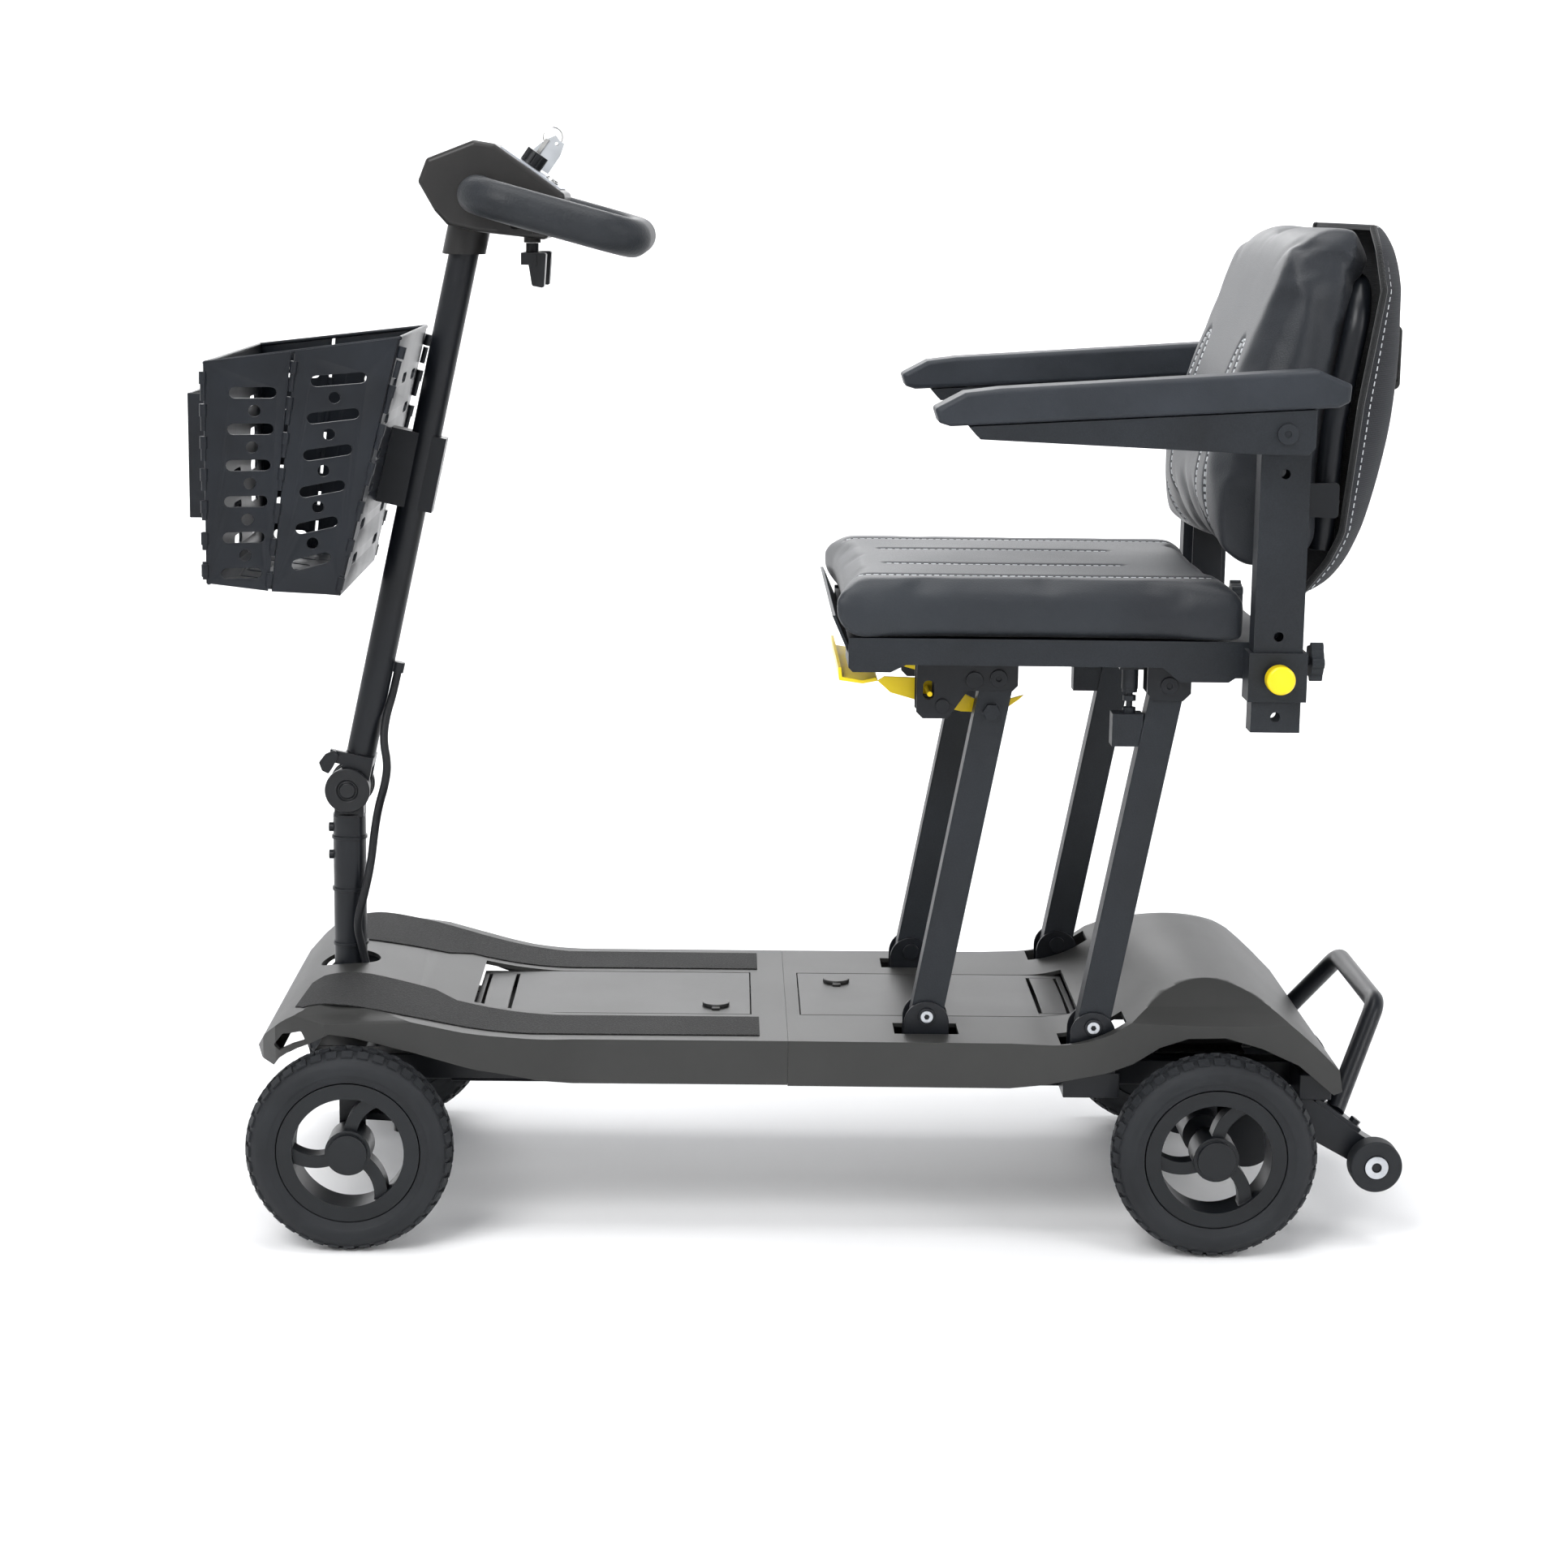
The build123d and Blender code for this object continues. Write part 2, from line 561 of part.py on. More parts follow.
rear_leg = leg_solid(rear_foot_x, rear_leg_y, fit)
top_x = rear_foot_x + leg_run_x
top_z = foot_z + leg_run_z
stop_block = block(top_x + 22, top_x + 50, rear_leg_y - 11, rear_leg_y + 11, top_z - 57, top_z - 27)
stop_block += block(top_x - 4, top_x + 42, rear_leg_y - 11, rear_leg_y + 11, top_z - 57, top_z - 45)
stop_block -= leg_solid(rear_foot_x, rear_leg_y, fit) + Pos(0, 0, 0) * block(top_x - 4, top_x + 1, 140, 180, 400, 520)
stop_x = top_x + 34
stop_top = frame_top - 26
stop_pin = rod_z(stop_x, rear_leg_y, top_z - 27, stop_top - 19, 3)
stop_pin += rod_z(stop_x, rear_leg_y, top_z - 27, top_z - 22, 6)
stop_pin += rod_z(stop_x, rear_leg_y, top_z - 16, top_z - 11, 6)
stop_pin += rod_z(stop_x, rear_leg_y, stop_top - 22, stop_top - 19, 7)
stop_buffer = rod_z(stop_x, rear_leg_y, stop_top - 19, stop_top - gap, 7.5)
nodes["rear_legs"] = both(rear_leg) + both(stop_block + stop_pin) + both(stop_buffer)


def foot_bracket(x, y):
    near = y - leg_depth / 2 - ear_gap
    far = y + leg_depth / 2 + ear_gap
    base = block(x - 22, x + 22, near - ear, far + ear, rail_top, rail_top + 4)
    ears = rod_y(x, foot_z - 7, near - ear, far + ear, 21)
    ears += block(x - 21, x + 21, near - ear, far + ear, rail_top + 4, foot_z - 7)
    ears -= block(x - 40, x + 40, near, far, rail_top + 4, foot_z + 40)
    return base + ears - rod_y(x, foot_z, near - 10, far + 10, leg_pin)


def pivot_bolt(x, y, z):
    near = y - leg_depth / 2 - ear_gap - ear
    far = y + leg_depth / 2 + ear_gap + ear
    bolt = rod_y(x, z, near - 3, far, leg_pin)
    bolt += rod_y(x, z, far, far + 2.5, 8)
    bolt += rod_y(x, z, near - 3, near, 8)
    return bolt - rod_y(x, z, far + 1, far + 4, 2.6)


feet = []
for x, y in ((front_foot_x, front_leg_y), (rear_foot_x, rear_leg_y)):
    feet += both(foot_bracket(x, y)) + both(pivot_bolt(x, y, foot_z))
nodes["foot_brackets"] = feet

# ---- seat frame ---------------------------------------------------------
lip = 22.0
lip_lean = 15.0
seat_pan = block(frame_rear, frame_front, -frame_half, frame_half, frame_top - sheet, frame_top)
seat_pan += side_plate([(frame_front, frame_top - 12), (frame_front + lip_lean, frame_top + lip),
                        (frame_front + lip_lean - 3, frame_top + lip), (frame_front - 3, frame_top - 12)],
                       -frame_half + 8, frame_half - 8)
side_outline = [(frame_front, frame_top + 3), (frame_front, frame_top - 24), (frame_front - 4, frame_top - 28),
                (frame_front - 38, frame_top - 28), (frame_front - 52, frame_top - 21), (-302, frame_top - 21),
                (-326, frame_top - 21), (-342, frame_top - 34), (frame_rear + 18, frame_top - 34),
                (frame_rear + 12, frame_top - 30), (frame_rear, frame_top - 30), (frame_rear, frame_top + 3)]
seat_pan += both(side_plate(side_outline, frame_half - sheet, frame_half))
seat_pan += block(frame_front - 2, frame_front, -frame_half, frame_half, frame_top - 9, frame_top)
for side in (1, -1):
    seat_pan += block(frame_front - 2, frame_front, side * 125, side * frame_half, frame_top - 24, frame_top)
nodes["seat_frame"] = seat_pan

front_top_x = front_foot_x + leg_run_x
under = frame_top - sheet
front_plate = [(front_top_x + 75, under), (front_top_x - 18, under), (front_top_x - 18, top_z - 7),
               (front_top_x - 13, top_z - 12), (front_top_x + 28, top_z - 12), (front_top_x + 46, top_z - 38),
               (front_top_x + 69, top_z - 38), (front_top_x + 75, top_z - 32)]
rear_plate = [(top_x + 20, under), (top_x - 20, under), (top_x - 20, top_z - 7), (top_x - 13, top_z - 14),
              (top_x + 14, top_z - 14), (top_x + 20, top_z - 7)]
lever_pin_x = front_top_x + 51
lever_pin_z = top_z - 26
slot_x = front_top_x + 64


def plates(outline, y):
    near = y - leg_depth / 2 - ear_gap
    far = y + leg_depth / 2 + ear_gap
    return side_plate(outline, near - ear, near), side_plate(outline, far, far + ear)


front_in, front_out = plates(front_plate, front_leg_y)
web = block(front_top_x + 20, front_top_x + 74, front_leg_y - 13, front_leg_y + 13, under - 3, under)
front_seat_bracket = front_in + front_out + web
guide_slot = side_plate([(slot_x - 5, top_z - 20), (slot_x + 5, top_z - 20), (slot_x + 5, top_z - 3),
                         (slot_x - 5, top_z - 3)], 100, 160, 4.5)
front_seat_bracket -= guide_slot
front_seat_bracket -= rod_y(lever_pin_x, lever_pin_z, 100, 160, 4)
front_seat_bracket -= rod_y(front_top_x, top_z, 100, 160, leg_pin)
rear_in, rear_out = plates(rear_plate, rear_leg_y)
rear_seat_bracket = rear_in + rear_out + block(top_x + 17, top_x + 20, rear_leg_y - 13, rear_leg_y + 13, under - 8, under)
rear_seat_bracket -= rod_y(top_x, top_z, 130, 190, leg_pin)
stop_pad = block(stop_x - 11, stop_x + 11, rear_leg_y - 12, rear_leg_y + 12, stop_top, under)
lever_bolt = rod_y(lever_pin_x, lever_pin_z, 101, front_leg_y + 15.5, 4)
lever_bolt += rod_y(lever_pin_x, lever_pin_z, front_leg_y + 15.5, front_leg_y + 18, 6.5)
frame_bolt = rod_y(front_top_x + 22, top_z - 2, front_leg_y + 15.5, front_leg_y + 18, 8)
seat_brackets = [front_seat_bracket, rear_seat_bracket, stop_pad, lever_bolt, frame_bolt]
seat_brackets += [pivot_bolt(front_top_x, front_leg_y, top_z), pivot_bolt(top_x, rear_leg_y, top_z)]
nodes["seat_brackets"] = seat_brackets + mirrored(seat_brackets)

# ---- seat release lever -------------------------------------------------
lever_in = 104.0
lever_arm = [(lever_pin_x + 58, lever_pin_z + 17), (lever_pin_x + 52, lever_pin_z + 21),
             (lever_pin_x + 14, lever_pin_z + 20), (lever_pin_x - 16, lever_pin_z + 9),
             (lever_pin_x - 40, lever_pin_z - 3), (lever_pin_x - 52, lever_pin_z - 2),
             (lever_pin_x - 78, lever_pin_z + 5), (lever_pin_x - 74, lever_pin_z + 1),
             (lever_pin_x - 56, lever_pin_z - 12), (lever_pin_x - 20, lever_pin_z - 11),
             (lever_pin_x + 14, lever_pin_z - 3), (lever_pin_x + 46, lever_pin_z + 6)]
arm = side_plate(lever_arm, lever_in, lever_in + ear)
arm -= rod_y(lever_pin_x, lever_pin_z, 90, 120, 4 + fit)
arm += rod_y(slot_x - 1, top_z - 15, lever_in + ear, front_leg_y + 18, 2.4)
grip_bar = side_plate([(lever_pin_x + 58, lever_pin_z + 17), (lever_pin_x + 72, lever_pin_z + 14),
                       (lever_pin_x + 94, lever_pin_z + 17), (lever_pin_x + 95, lever_pin_z + 29),
                       (lever_pin_x + 92, lever_pin_z + 29), (lever_pin_x + 91, lever_pin_z + 20),
                       (lever_pin_x + 72, lever_pin_z + 17), (lever_pin_x + 60, lever_pin_z + 20)],
                      -lever_in - ear, lever_in + ear)
lever = arm + mirrored(arm) + grip_bar
nodes["seat_release_lever"] = lever

# ---- cushion ------------------------------------------------------------
cushion_tuck = frame_front - 4
cushion_outline = [(cushion_rear, cushion_bottom), (cushion_tuck, cushion_bottom),
                   (cushion_tuck + lip_lean - 1, frame_top + lip + gap), (cushion_front, frame_top + lip + gap),
                   (cushion_front, cushion_top), (cushion_rear, cushion_top)]
cushion = side_plate(cushion_outline, -cushion_half, cushion_half)
upper_edges = cushion.edges().filter_by_position(Axis.Z, cushion_top - 1, cushion_top + 1)
cushion = fillet(upper_edges, 12)
nodes["seat_cushion"] = cushion

# ---- armrest posts and sleeves -------------------------------------------
half_x = post_length_x / 2
half_y = post_width_y / 2
slide_fit = 0.15


def post_box(grow, z0, z1):
    return block(post_x - half_x - grow, post_x + half_x + grow, post_y - half_y - grow, post_y + half_y + grow, z0, z1)


plunger_z = 544.0
plunger_radius = 4.0
hole_pitch = 36.0
sleeve = post_box(slide_fit + sleeve_wall, sleeve_bottom, sleeve_top) - post_box(slide_fit, 500, 600)
sleeve_face = post_y + half_y + slide_fit + sleeve_wall
sleeve -= rod_y(post_x, plunger_z, post_y, sleeve_face + 1, plunger_radius + fit)
sleeve_back = post_x - half_x - slide_fit - sleeve_wall
sleeve -= rod_x(post_y, 557, sleeve_back - 1, post_x - half_x, 4)
rear_beam = block(-442, -406, -post_y + half_y + slide_fit + sleeve_wall,
                                post_y - half_y - slide_fit - sleeve_wall, frame_top - 33, frame_top - sheet) + block(
    -406, frame_rear, -frame_half, frame_half, frame_top - 33, frame_top - sheet)
post = post_box(0, post_bottom, post_top) - block(
    post_x - half_x + 2, post_x + half_x - 2, post_y - half_y + 2, post_y + half_y - 2, post_bottom - 1, post_top - 45)
for k in (-1, 0, 1, 5):
    post -= rod_y(post_x, plunger_z + hole_pitch * k, post_y - half_y - 1, post_y + half_y + 1, plunger_radius + 0.3)
post_boss = rod_y(flip_x, flip_z, post_y + half_y, pad_y - bracket_half - 0.2, 11)
flip_pin = rod_y(flip_x, flip_z, post_y + half_y, pad_y + bracket_half + 0.3, leg_pin)
flip_head = rod_y(flip_x, flip_z, pad_y + bracket_half + 0.3, pad_y + bracket_half + 3.5, 9)
flip_head -= rod_y(flip_x, flip_z, pad_y + bracket_half + 2, pad_y + bracket_half + 5, 3)
pair("armrest_post", post + post_boss + flip_pin + flip_head)
plunger = rod_y(post_x, plunger_z, post_y + half_y + slide_fit, sleeve_face + 5, plunger_radius)
plunger += rod_y(post_x, plunger_z, sleeve_face + 5, sleeve_face + 20, 12.8)
pair("height_plunger", fillet(plunger.edges().filter_by(GeomType.CIRCLE).sort_by(Axis.Y)[-1], 3))
collar = rod_y(post_x, plunger_z, sleeve_face, sleeve_face + 4, 11) - rod_y(
    post_x, plunger_z, sleeve_face - 1, sleeve_face + 5, plunger_radius + fit)
knob = rod_x(post_y, 557, sleeve_back - 15, sleeve_back - 4, 14.5)
for k in range(5):
    lobe = rod_x(post_y, 557, sleeve_back - 15, sleeve_back - 4, 5)
    turn = math.radians(72 * k)
    knob += Pos(0, 13 * math.cos(turn), 13 * math.sin(turn)) * lobe
knob += rod_x(post_y, 557, sleeve_back - 4, post_x - half_x - slide_fit, 3.9)
nodes["armrest_beam"] = [rear_beam] + both(sleeve) + both(collar) + both(knob)

# ---- armrests -----------------------------------------------------------
pad_outline = [(-110, 780), (-114, 768), (-124, 765), (-458, 785), (-468, 790), (-469, 805), (-440, 817),
               (-166, 798), (-136, 794)]
pad = side_plate(pad_outline, pad_y - pad_half, pad_y + pad_half, 3)
long_edges = pad.edges().filter_by(Axis.Y, reverse=True).sort_by(SortBy.LENGTH)[-4:]
pair("armrest_pad", fillet(long_edges, 5))
bracket_outline = [(-140, 765.2), (-150, 754), (-398, 744), (-434, 744), (-440, 750), (-440, 783.2)]
bracket = side_plate(bracket_outline, pad_y - bracket_half, pad_y + bracket_half)
bracket -= side_plate([(-141, 762.2), (-151, 751.2), (-398, 741), (-442, 741), (-442, 747), (-442, 780.2)],
                      pad_y - bracket_half + 3, pad_y + bracket_half - 3)
bracket -= rod_y(flip_x, flip_z, pad_y - 40, pad_y + 40, leg_pin + fit)
pair("armrest_bracket", bracket)

# ---- backrest -----------------------------------------------------------
upright = side_plate([(-437, frame_top - sheet), (-407, frame_top - sheet), (-407, recline_z + 4),
                      (-414, recline_z + 14), (-430, recline_z + 14), (-437, recline_z + 4)], 192.0, 196.0)
upright += rod_y(recline_x, recline_z, 187.2, 196, leg_pin)
upright += rod_y(recline_x, recline_z, 196, 199, 9)
nodes["backrest_uprights"] = both(upright)
back_rise = [(-369, 646), (-366, 665), (-375, 735), (-407, 822), (-427, 867), (-443, 905), (-462, 928), (-484, 936)]
back_fall = [(-508, 936), (-504, 916.5), (-488.4, 889), (-465.7, 761.5), (-458.6, 650), (-440, 634), (-392, 634)]
back_profile = make_face([Spline(*back_rise), Polyline(back_rise[-1], *back_fall, back_rise[0])])
back = extrude(Plane.XZ * back_profile, back_half - 2, both=True)
back_width = [(-183, 600), (-183, 880), (-168, 915), (-140, 940), (140, 940), (168, 915), (183, 880), (183, 600)]
nodes["back_cushion"] = back & cross_plate(back_width, -560, -340, 12)
frame_low, frame_mid, frame_high = (-470, 650), (-477, 760), (-500, 886)
tube_half = 160.0
back_points = [(frame_low[0], tube_half, frame_low[1]), (frame_mid[0], tube_half, frame_mid[1]),
               (frame_high[0], tube_half, frame_high[1]), (frame_high[0], -tube_half, frame_high[1]),
               (frame_mid[0], -tube_half, frame_mid[1]), (frame_low[0], -tube_half, frame_low[1])]
back_frame = bent_tube(back_points, 11, [150, 45, 45, 150])
hinge_plate = side_plate([(recline_x + 13, recline_z + 13), (recline_x + 13, recline_z - 13),
                          (frame_low[0] - 9, recline_z - 16), (frame_low[0] - 9, recline_z + 16)], 187.2, 191.2, 4)
hinge_plate += rod_y(-473, recline_z - 2, tube_half + 2, 188, 7)
hinge_plate -= rod_y(recline_x, recline_z, 180, 200, leg_pin + fit)
nodes["back_frame"] = back_frame + hinge_plate + mirrored(hinge_plate)
flap_line = [(-508.4, 936.5), (-531, 934), (-546, 905), (-550, 855), (-550, 808), (-543, 744), (-523, 666), (-498, 620),
             (-462, 612)]
flap = extrude(Plane.XZ * trace(Spline(*flap_line), 5), back_half - 5, both=True)
back_flap = flap & cross_plate([(y * 0.97, z + 3) for y, z in back_width], -600, -340, 12)
holder = block(-overall_length / 2, -552.8, -20, 20, 786, 846)
holder = fillet(holder.edges().filter_by(Axis.Y), 6) - block(-562, -556, -21, 21, 794, 838)
nodes["back_flap"] = [back_flap, holder]

# ---- tiller -------------------------------------------------------------
lean = math.radians(tiller_lean)


def along_tiller(distance, ahead=0.0):
    base_x = fold_x - 4.0
    return (base_x - distance * math.sin(lean) + ahead * math.cos(lean),
            fold_z + distance * math.cos(lean) + ahead * math.sin(lean))


def tiller_frame(solid):
    return Pos(fold_x - 4.0, 0, fold_z) * Rot(0, -tiller_lean, 0) * solid


tube = tiller_frame(rod_z(0, 0, tiller_start, tiller_length, tube_radius)
                    - rod_z(0, 0, tiller_start + 12, tiller_length + 1, tube_radius - 2))
ear_near = tongue_half + 0.3
for side in (1, -1):
    y0, y1 = side * ear_near, side * (ear_near + ear_thickness)
    tube += rod_y(fold_x, fold_z, y0, y1, fold_radius)
    tube += tiller_frame(block(-14, 14, min(y0, y1), max(y0, y1), 4, 34))
tube += tiller_frame(block(-14, 14, -ear_near - ear_thickness, ear_near + ear_thickness, tiller_start, 34))
tube -= rod_y(fold_x, fold_z, -40, 40, fold_pin)
joint_pin = rod_y(fold_x, fold_z, -ear_near - ear_thickness, ear_near + ear_thickness, fold_pin)
disc_y = ear_near + ear_thickness
disc = rod_y(fold_x, fold_z, disc_y, disc_y + disc_thickness, disc_radius)
disc -= rod_y(fold_x, fold_z, disc_y + disc_thickness - 2, disc_y + disc_thickness + 1, 10)
disc += rod_y(fold_x, fold_z, disc_y + disc_thickness - 2, disc_y + disc_thickness + 0.5, 7.5)
nodes["fold_joint_discs"] = joint_pin + disc + mirrored(disc)
cam = side_plate([(455, 419), (449, 427), (440, 431), (436, 426), (442, 414), (446, 408), (452, 411)],
                 disc_y + 0.3, disc_y + 4.3, 2)
cam += rod_y(441, 424, ear_near + 2, disc_y + 4.3, 3)
cam_seat = tiller_frame(block(10, 28, ear_near, disc_y, 22, 34)) - rod_y(441, 424, 0, 40, 3)

head_outline = [(353, 966), (345, 987), (302, 1004), (283, 1001), (218, 956), (224, 930), (236, 915), (296, 921),
                (326, 927), (338, 940)]
head_inner = [(348, 966), (341, 984), (302, 1000), (285, 997.5), (223, 955), (228, 932), (238, 919), (296, 925),
              (324, 931), (334, 943)]
head = side_plate(head_outline, -head_half, head_half, 5)
head = fillet(head.edges().filter_by(Plane.XZ), 5)
head -= side_plate(head_inner, -head_half + 4, head_half - 4, 3)
loop_slope = math.atan2(loop_front_z - loop_rear_z, loop_front_x - loop_rear_x)
head -= rod_y(loop_front_x, loop_front_z, -head_half - 5, head_half + 5, loop_radius + 0.1)
collar_solid = tiller_frame(rod_z(0, 0, tiller_length - 29, tiller_length + 12, 20)
                            - rod_z(0, 0, tiller_length - 30, tiller_length + 13, tube_radius))
collar_solid &= side_plate([(280, 900), (345, 900), (345, 930), (326, 926.8), (296, 920.8), (280, 919.2)], -30, 30)
head -= tiller_frame(rod_z(0, 0, tiller_length - 30, tiller_length + 40, tube_radius + 0.1))
port_x, port_z, port_radius = 264.0, 926.0, 8.0
head -= rod_y(port_x, port_z + 4, 50, 70, port_radius + 0.1)
dial_x, dial_y, button_x, button_y, key_x, key_y = 254.0, 14.0, 233.0, 30.0, 256.0, -30.0
panel_angle = math.degrees(math.atan2(1001 - 956, 283 - 218))


def on_panel(x, y, solid):
    z = 956 + (x - 218) * (1001 - 956) / (283 - 218)
    return Pos(x, y, z) * Rot(0, -panel_angle, 0) * solid


panel_plate = on_panel(251, 0, Pos(0, 0, 0.8) * Box(66, 96, 1.6))
for x, y, radius in ((dial_x, dial_y, 3.0), (button_x, button_y, 6.5), (key_x, key_y, 7.0)):
    hole = on_panel(x, y, Cylinder(radius + fit, 16))
    head -= hole
    panel_plate -= hole
upper = head & block(150, 420, -90, 90, head_seam_z, 1040)
lower = head & block(150, 420, -90, 90, 880, head_seam_z)
nodes["head_upper_shell"] = upper.solids().sort_by(SortBy.VOLUME)[-1]
lower_shell = lower.solids().sort_by(SortBy.VOLUME)[-1]
dial = on_panel(dial_x, dial_y, Pos(0, 0, 8.4) * Cylinder(11, 13) + Pos(0, 0, -2) * Cylinder(3, 8))
for k in range(12):
    dial -= on_panel(dial_x, dial_y, Rot(0, 0, 30 * k) * Pos(11, 0, 9.6) * Cylinder(1.2, 12))
nodes["speed_dial"] = dial
button = on_panel(button_x, button_y, Pos(0, 0, 0) * Cylinder(6.5, 6))
button += on_panel(button_x, button_y, Pos(0, 0, 3) * Cylinder(5.5, 3))
nodes["horn_button"] = button
barrel = on_panel(key_x, key_y, Pos(0, 0, 1) * Cylinder(7, 10) - Pos(0, 0, 2.5) * Cylinder(3.4, 12))
nodes["control_panel"] = [panel_plate, barrel]
key = on_panel(key_x, key_y, Pos(0, 0, 3.5) * Box(1.5, 6, 9) + Pos(0, 0, 10) * Box(3, 7, 6)
               + Pos(0, 0, 21) * Box(4, 16, 18))
nodes["ignition_key"] = key
socket = rod_y(port_x, port_z + 4, 50, head_half + 0.8, port_radius)
socket += block(port_x - 16, port_x + 16, head_half, head_half + 1.6, port_z - 6, port_z + 12)
socket -= rod_y(port_x, port_z + 4, 55, 70, port_radius - 2)
socket -= rod_y(loop_front_x, loop_front_z, 40, 80, loop_radius + 0.1)

loop_points = [(loop_front_x, loop_half, loop_front_z), (loop_front_x, -loop_half, loop_front_z),
               (loop_rear_x, -loop_half, loop_rear_z), (loop_rear_x, loop_half, loop_rear_z)]
nodes["handle_loop"] = bent_tube(loop_points, loop_radius, 36, close=True)

lever_x, lever_top = 252.0, 911.0
throttle = rod_z(lever_x, 0, lever_top - 20, lever_top, 6)
throttle += block(lever_x - 7, lever_x + 7, -58, 58, lever_top - 19, lever_top - 8)
for side in (1, -1):
    throttle += side_plate([(lever_x + 2, lever_top - 8), (lever_x - 16, lever_top - 8), (lever_x - 14, lever_top - 40),
                            (lever_x - 3, lever_top - 38)], side * 34, side * 56, 2)
nodes["throttle_paddle"] = throttle
boss = rod_z(lever_x, 0, lever_top + gap, 918.5, 8) - side_plate(head_inner, -20, 20, 3)
nodes["head_lower_shell"] = [lower_shell + boss, collar_solid, socket]

# ---- basket -------------------------------------------------------------
basket_top = [(534, 806), (362, 828)]
basket_low = [(535, 608), (418, 594)]
basket_front_half, basket_rear_half = 171.0, 128.0
basket_wall = 3.0


def basket_body(shrink, lift):
    outline = [(basket_top[0][0] - shrink, basket_top[0][1] + lift), (basket_top[1][0] + shrink, basket_top[1][1] + lift),
               (basket_low[1][0] + shrink, basket_low[1][1] + (shrink and basket_wall)),
               (basket_low[0][0] - shrink, basket_low[0][1] + (shrink and basket_wall))]
    body = side_plate(outline, -200, 200)
    x_front, x_rear = basket_top[0][0] + 2, basket_top[1][0] - 2
    plan = [(x_front, basket_front_half - shrink), (x_rear, basket_rear_half - shrink),
            (x_rear, shrink - basket_rear_half), (x_front, shrink - basket_front_half)]
    return body & plan_plate(plan, 560, 880)


basket = basket_body(0, 0) - basket_body(basket_wall, 30)
slot_rows = 6
for row in range(slot_rows):
    z = 630 + row * 31.0
    for x, length in ((506, 30), (452 - row * 3, 40)):
        opening = block(x - length / 2, x + length / 2, -220, 220, z - 4.5, z + 4.5)
        opening = fillet(opening.edges().filter_by(Axis.Y), 4.4)
        basket -= opening
        if row < slot_rows - 1:
            basket -= rod_y(x, z + 15.5, -220, 220, 4.5)
    for y in (-110, 0, 110):
        basket -= block(basket_top[0][0] - 20, basket_top[0][0] + 20, y - 22, y + 22, z - 4.5, z + 4.5)
pocket = block(basket_low[0][0] + 0.2, overall_length / 2, -70, 70, 657, 772)
pocket -= block(basket_top[0][0] - 1, overall_length / 2 - 2.5, -67.5, 67.5, 660, 780)
nodes["basket"] = [basket, pocket]


def wall_x(z):
    t = (z - basket_low[1][1]) / (basket_top[1][1] - basket_low[1][1])
    return basket_low[1][0] + t * (basket_top[1][0] - basket_low[1][0])


hook_low, hook_high = 662.0, 732.0
clip_low = (hook_low - fold_z) / math.cos(lean)
clip_high = (hook_high - fold_z) / math.cos(lean)
clip = tiller_frame(block(-20, 44, -24, 24, clip_low, clip_high)
                    - rod_z(0, 0, clip_low - 1, clip_high + 1, tube_radius))
clip -= side_plate([(wall_x(600) - gap, 600), (wall_x(800) - gap, 800), (600, 800), (600, 600)], -40, 40)
grommet = tiller_frame(Pos(-18.5, 0, 118 + gap + 5) * Cylinder(5.5, 10) + Pos(-14.5, 0, 118 + gap + 5) * Box(6, 8, 10)
                       - rod_z(0, 0, 100, 140, tube_radius))
nodes["tiller_tube"] = [tube + cam_seat, cam, clip, grommet]

# ---- wiring -------------------------------------------------------------
cable_radius = 4.0
harness = [(411, 15, 169), (410, 15, 208), (416, 18, 236), (421, 24, 262), (413, 22, 290), (407, 14, 320),
           (404, 10, 350), (399, 16, 376), (392, 24, 398), (389, 24, 418), (394, 17, 440), (392, 9, 462),
           (385.8, 0, 483), (381.4, 0, 503.6)]


def corner_radii(points):
    radii = []
    for before, here, after in zip(points, points[1:], points[2:]):
        first, second = Vector(*here) - Vector(*before), Vector(*after) - Vector(*here)
        turn = math.radians(first.get_angle(second))
        radii.append(0.45 * min(first.length, second.length) / math.tan(turn / 2))
    return radii


print("harness bend radii", [round(r) for r in corner_radii(harness)])
cable = bent_tube(harness, cable_radius, corner_radii(harness))
cable_length = FilletPolyline(*harness, radius=corner_radii(harness)).length
print("harness volume", round(cable.volume), "section x length", round(math.pi * cable_radius ** 2 * cable_length))
nodes["wiring_harness"] = cable
tie_outer = column_radius + 1.4
ties = [rod_z(column_x, 0, z - 1.5, z + 1.5, tie_outer) - rod_z(column_x, 0, z - 2, z + 2, column_radius)
        for z in (343, 292, 238)]
nodes["steering_column"] = [column] + column_bolts + [tie_ring - cable for tie_ring in ties]


def save(name, shape):
    pieces = shape if isinstance(shape, list) else [shape]
    solids = [solid for piece in pieces for solid in piece.solids()]
    export_step(Compound(children=solids), f"parts/{name}.step")
    print(f"{name:28s} solids {len(solids)}")


for name, shape in nodes.items():
    save(name, shape)
print(len(nodes), "nodes")
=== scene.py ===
import bpy
import bmesh
import json
import math
import numpy as np
from mathutils import Matrix, Vector
from mathutils.bvhtree import BVHTree
from mathutils.kdtree import KDTree


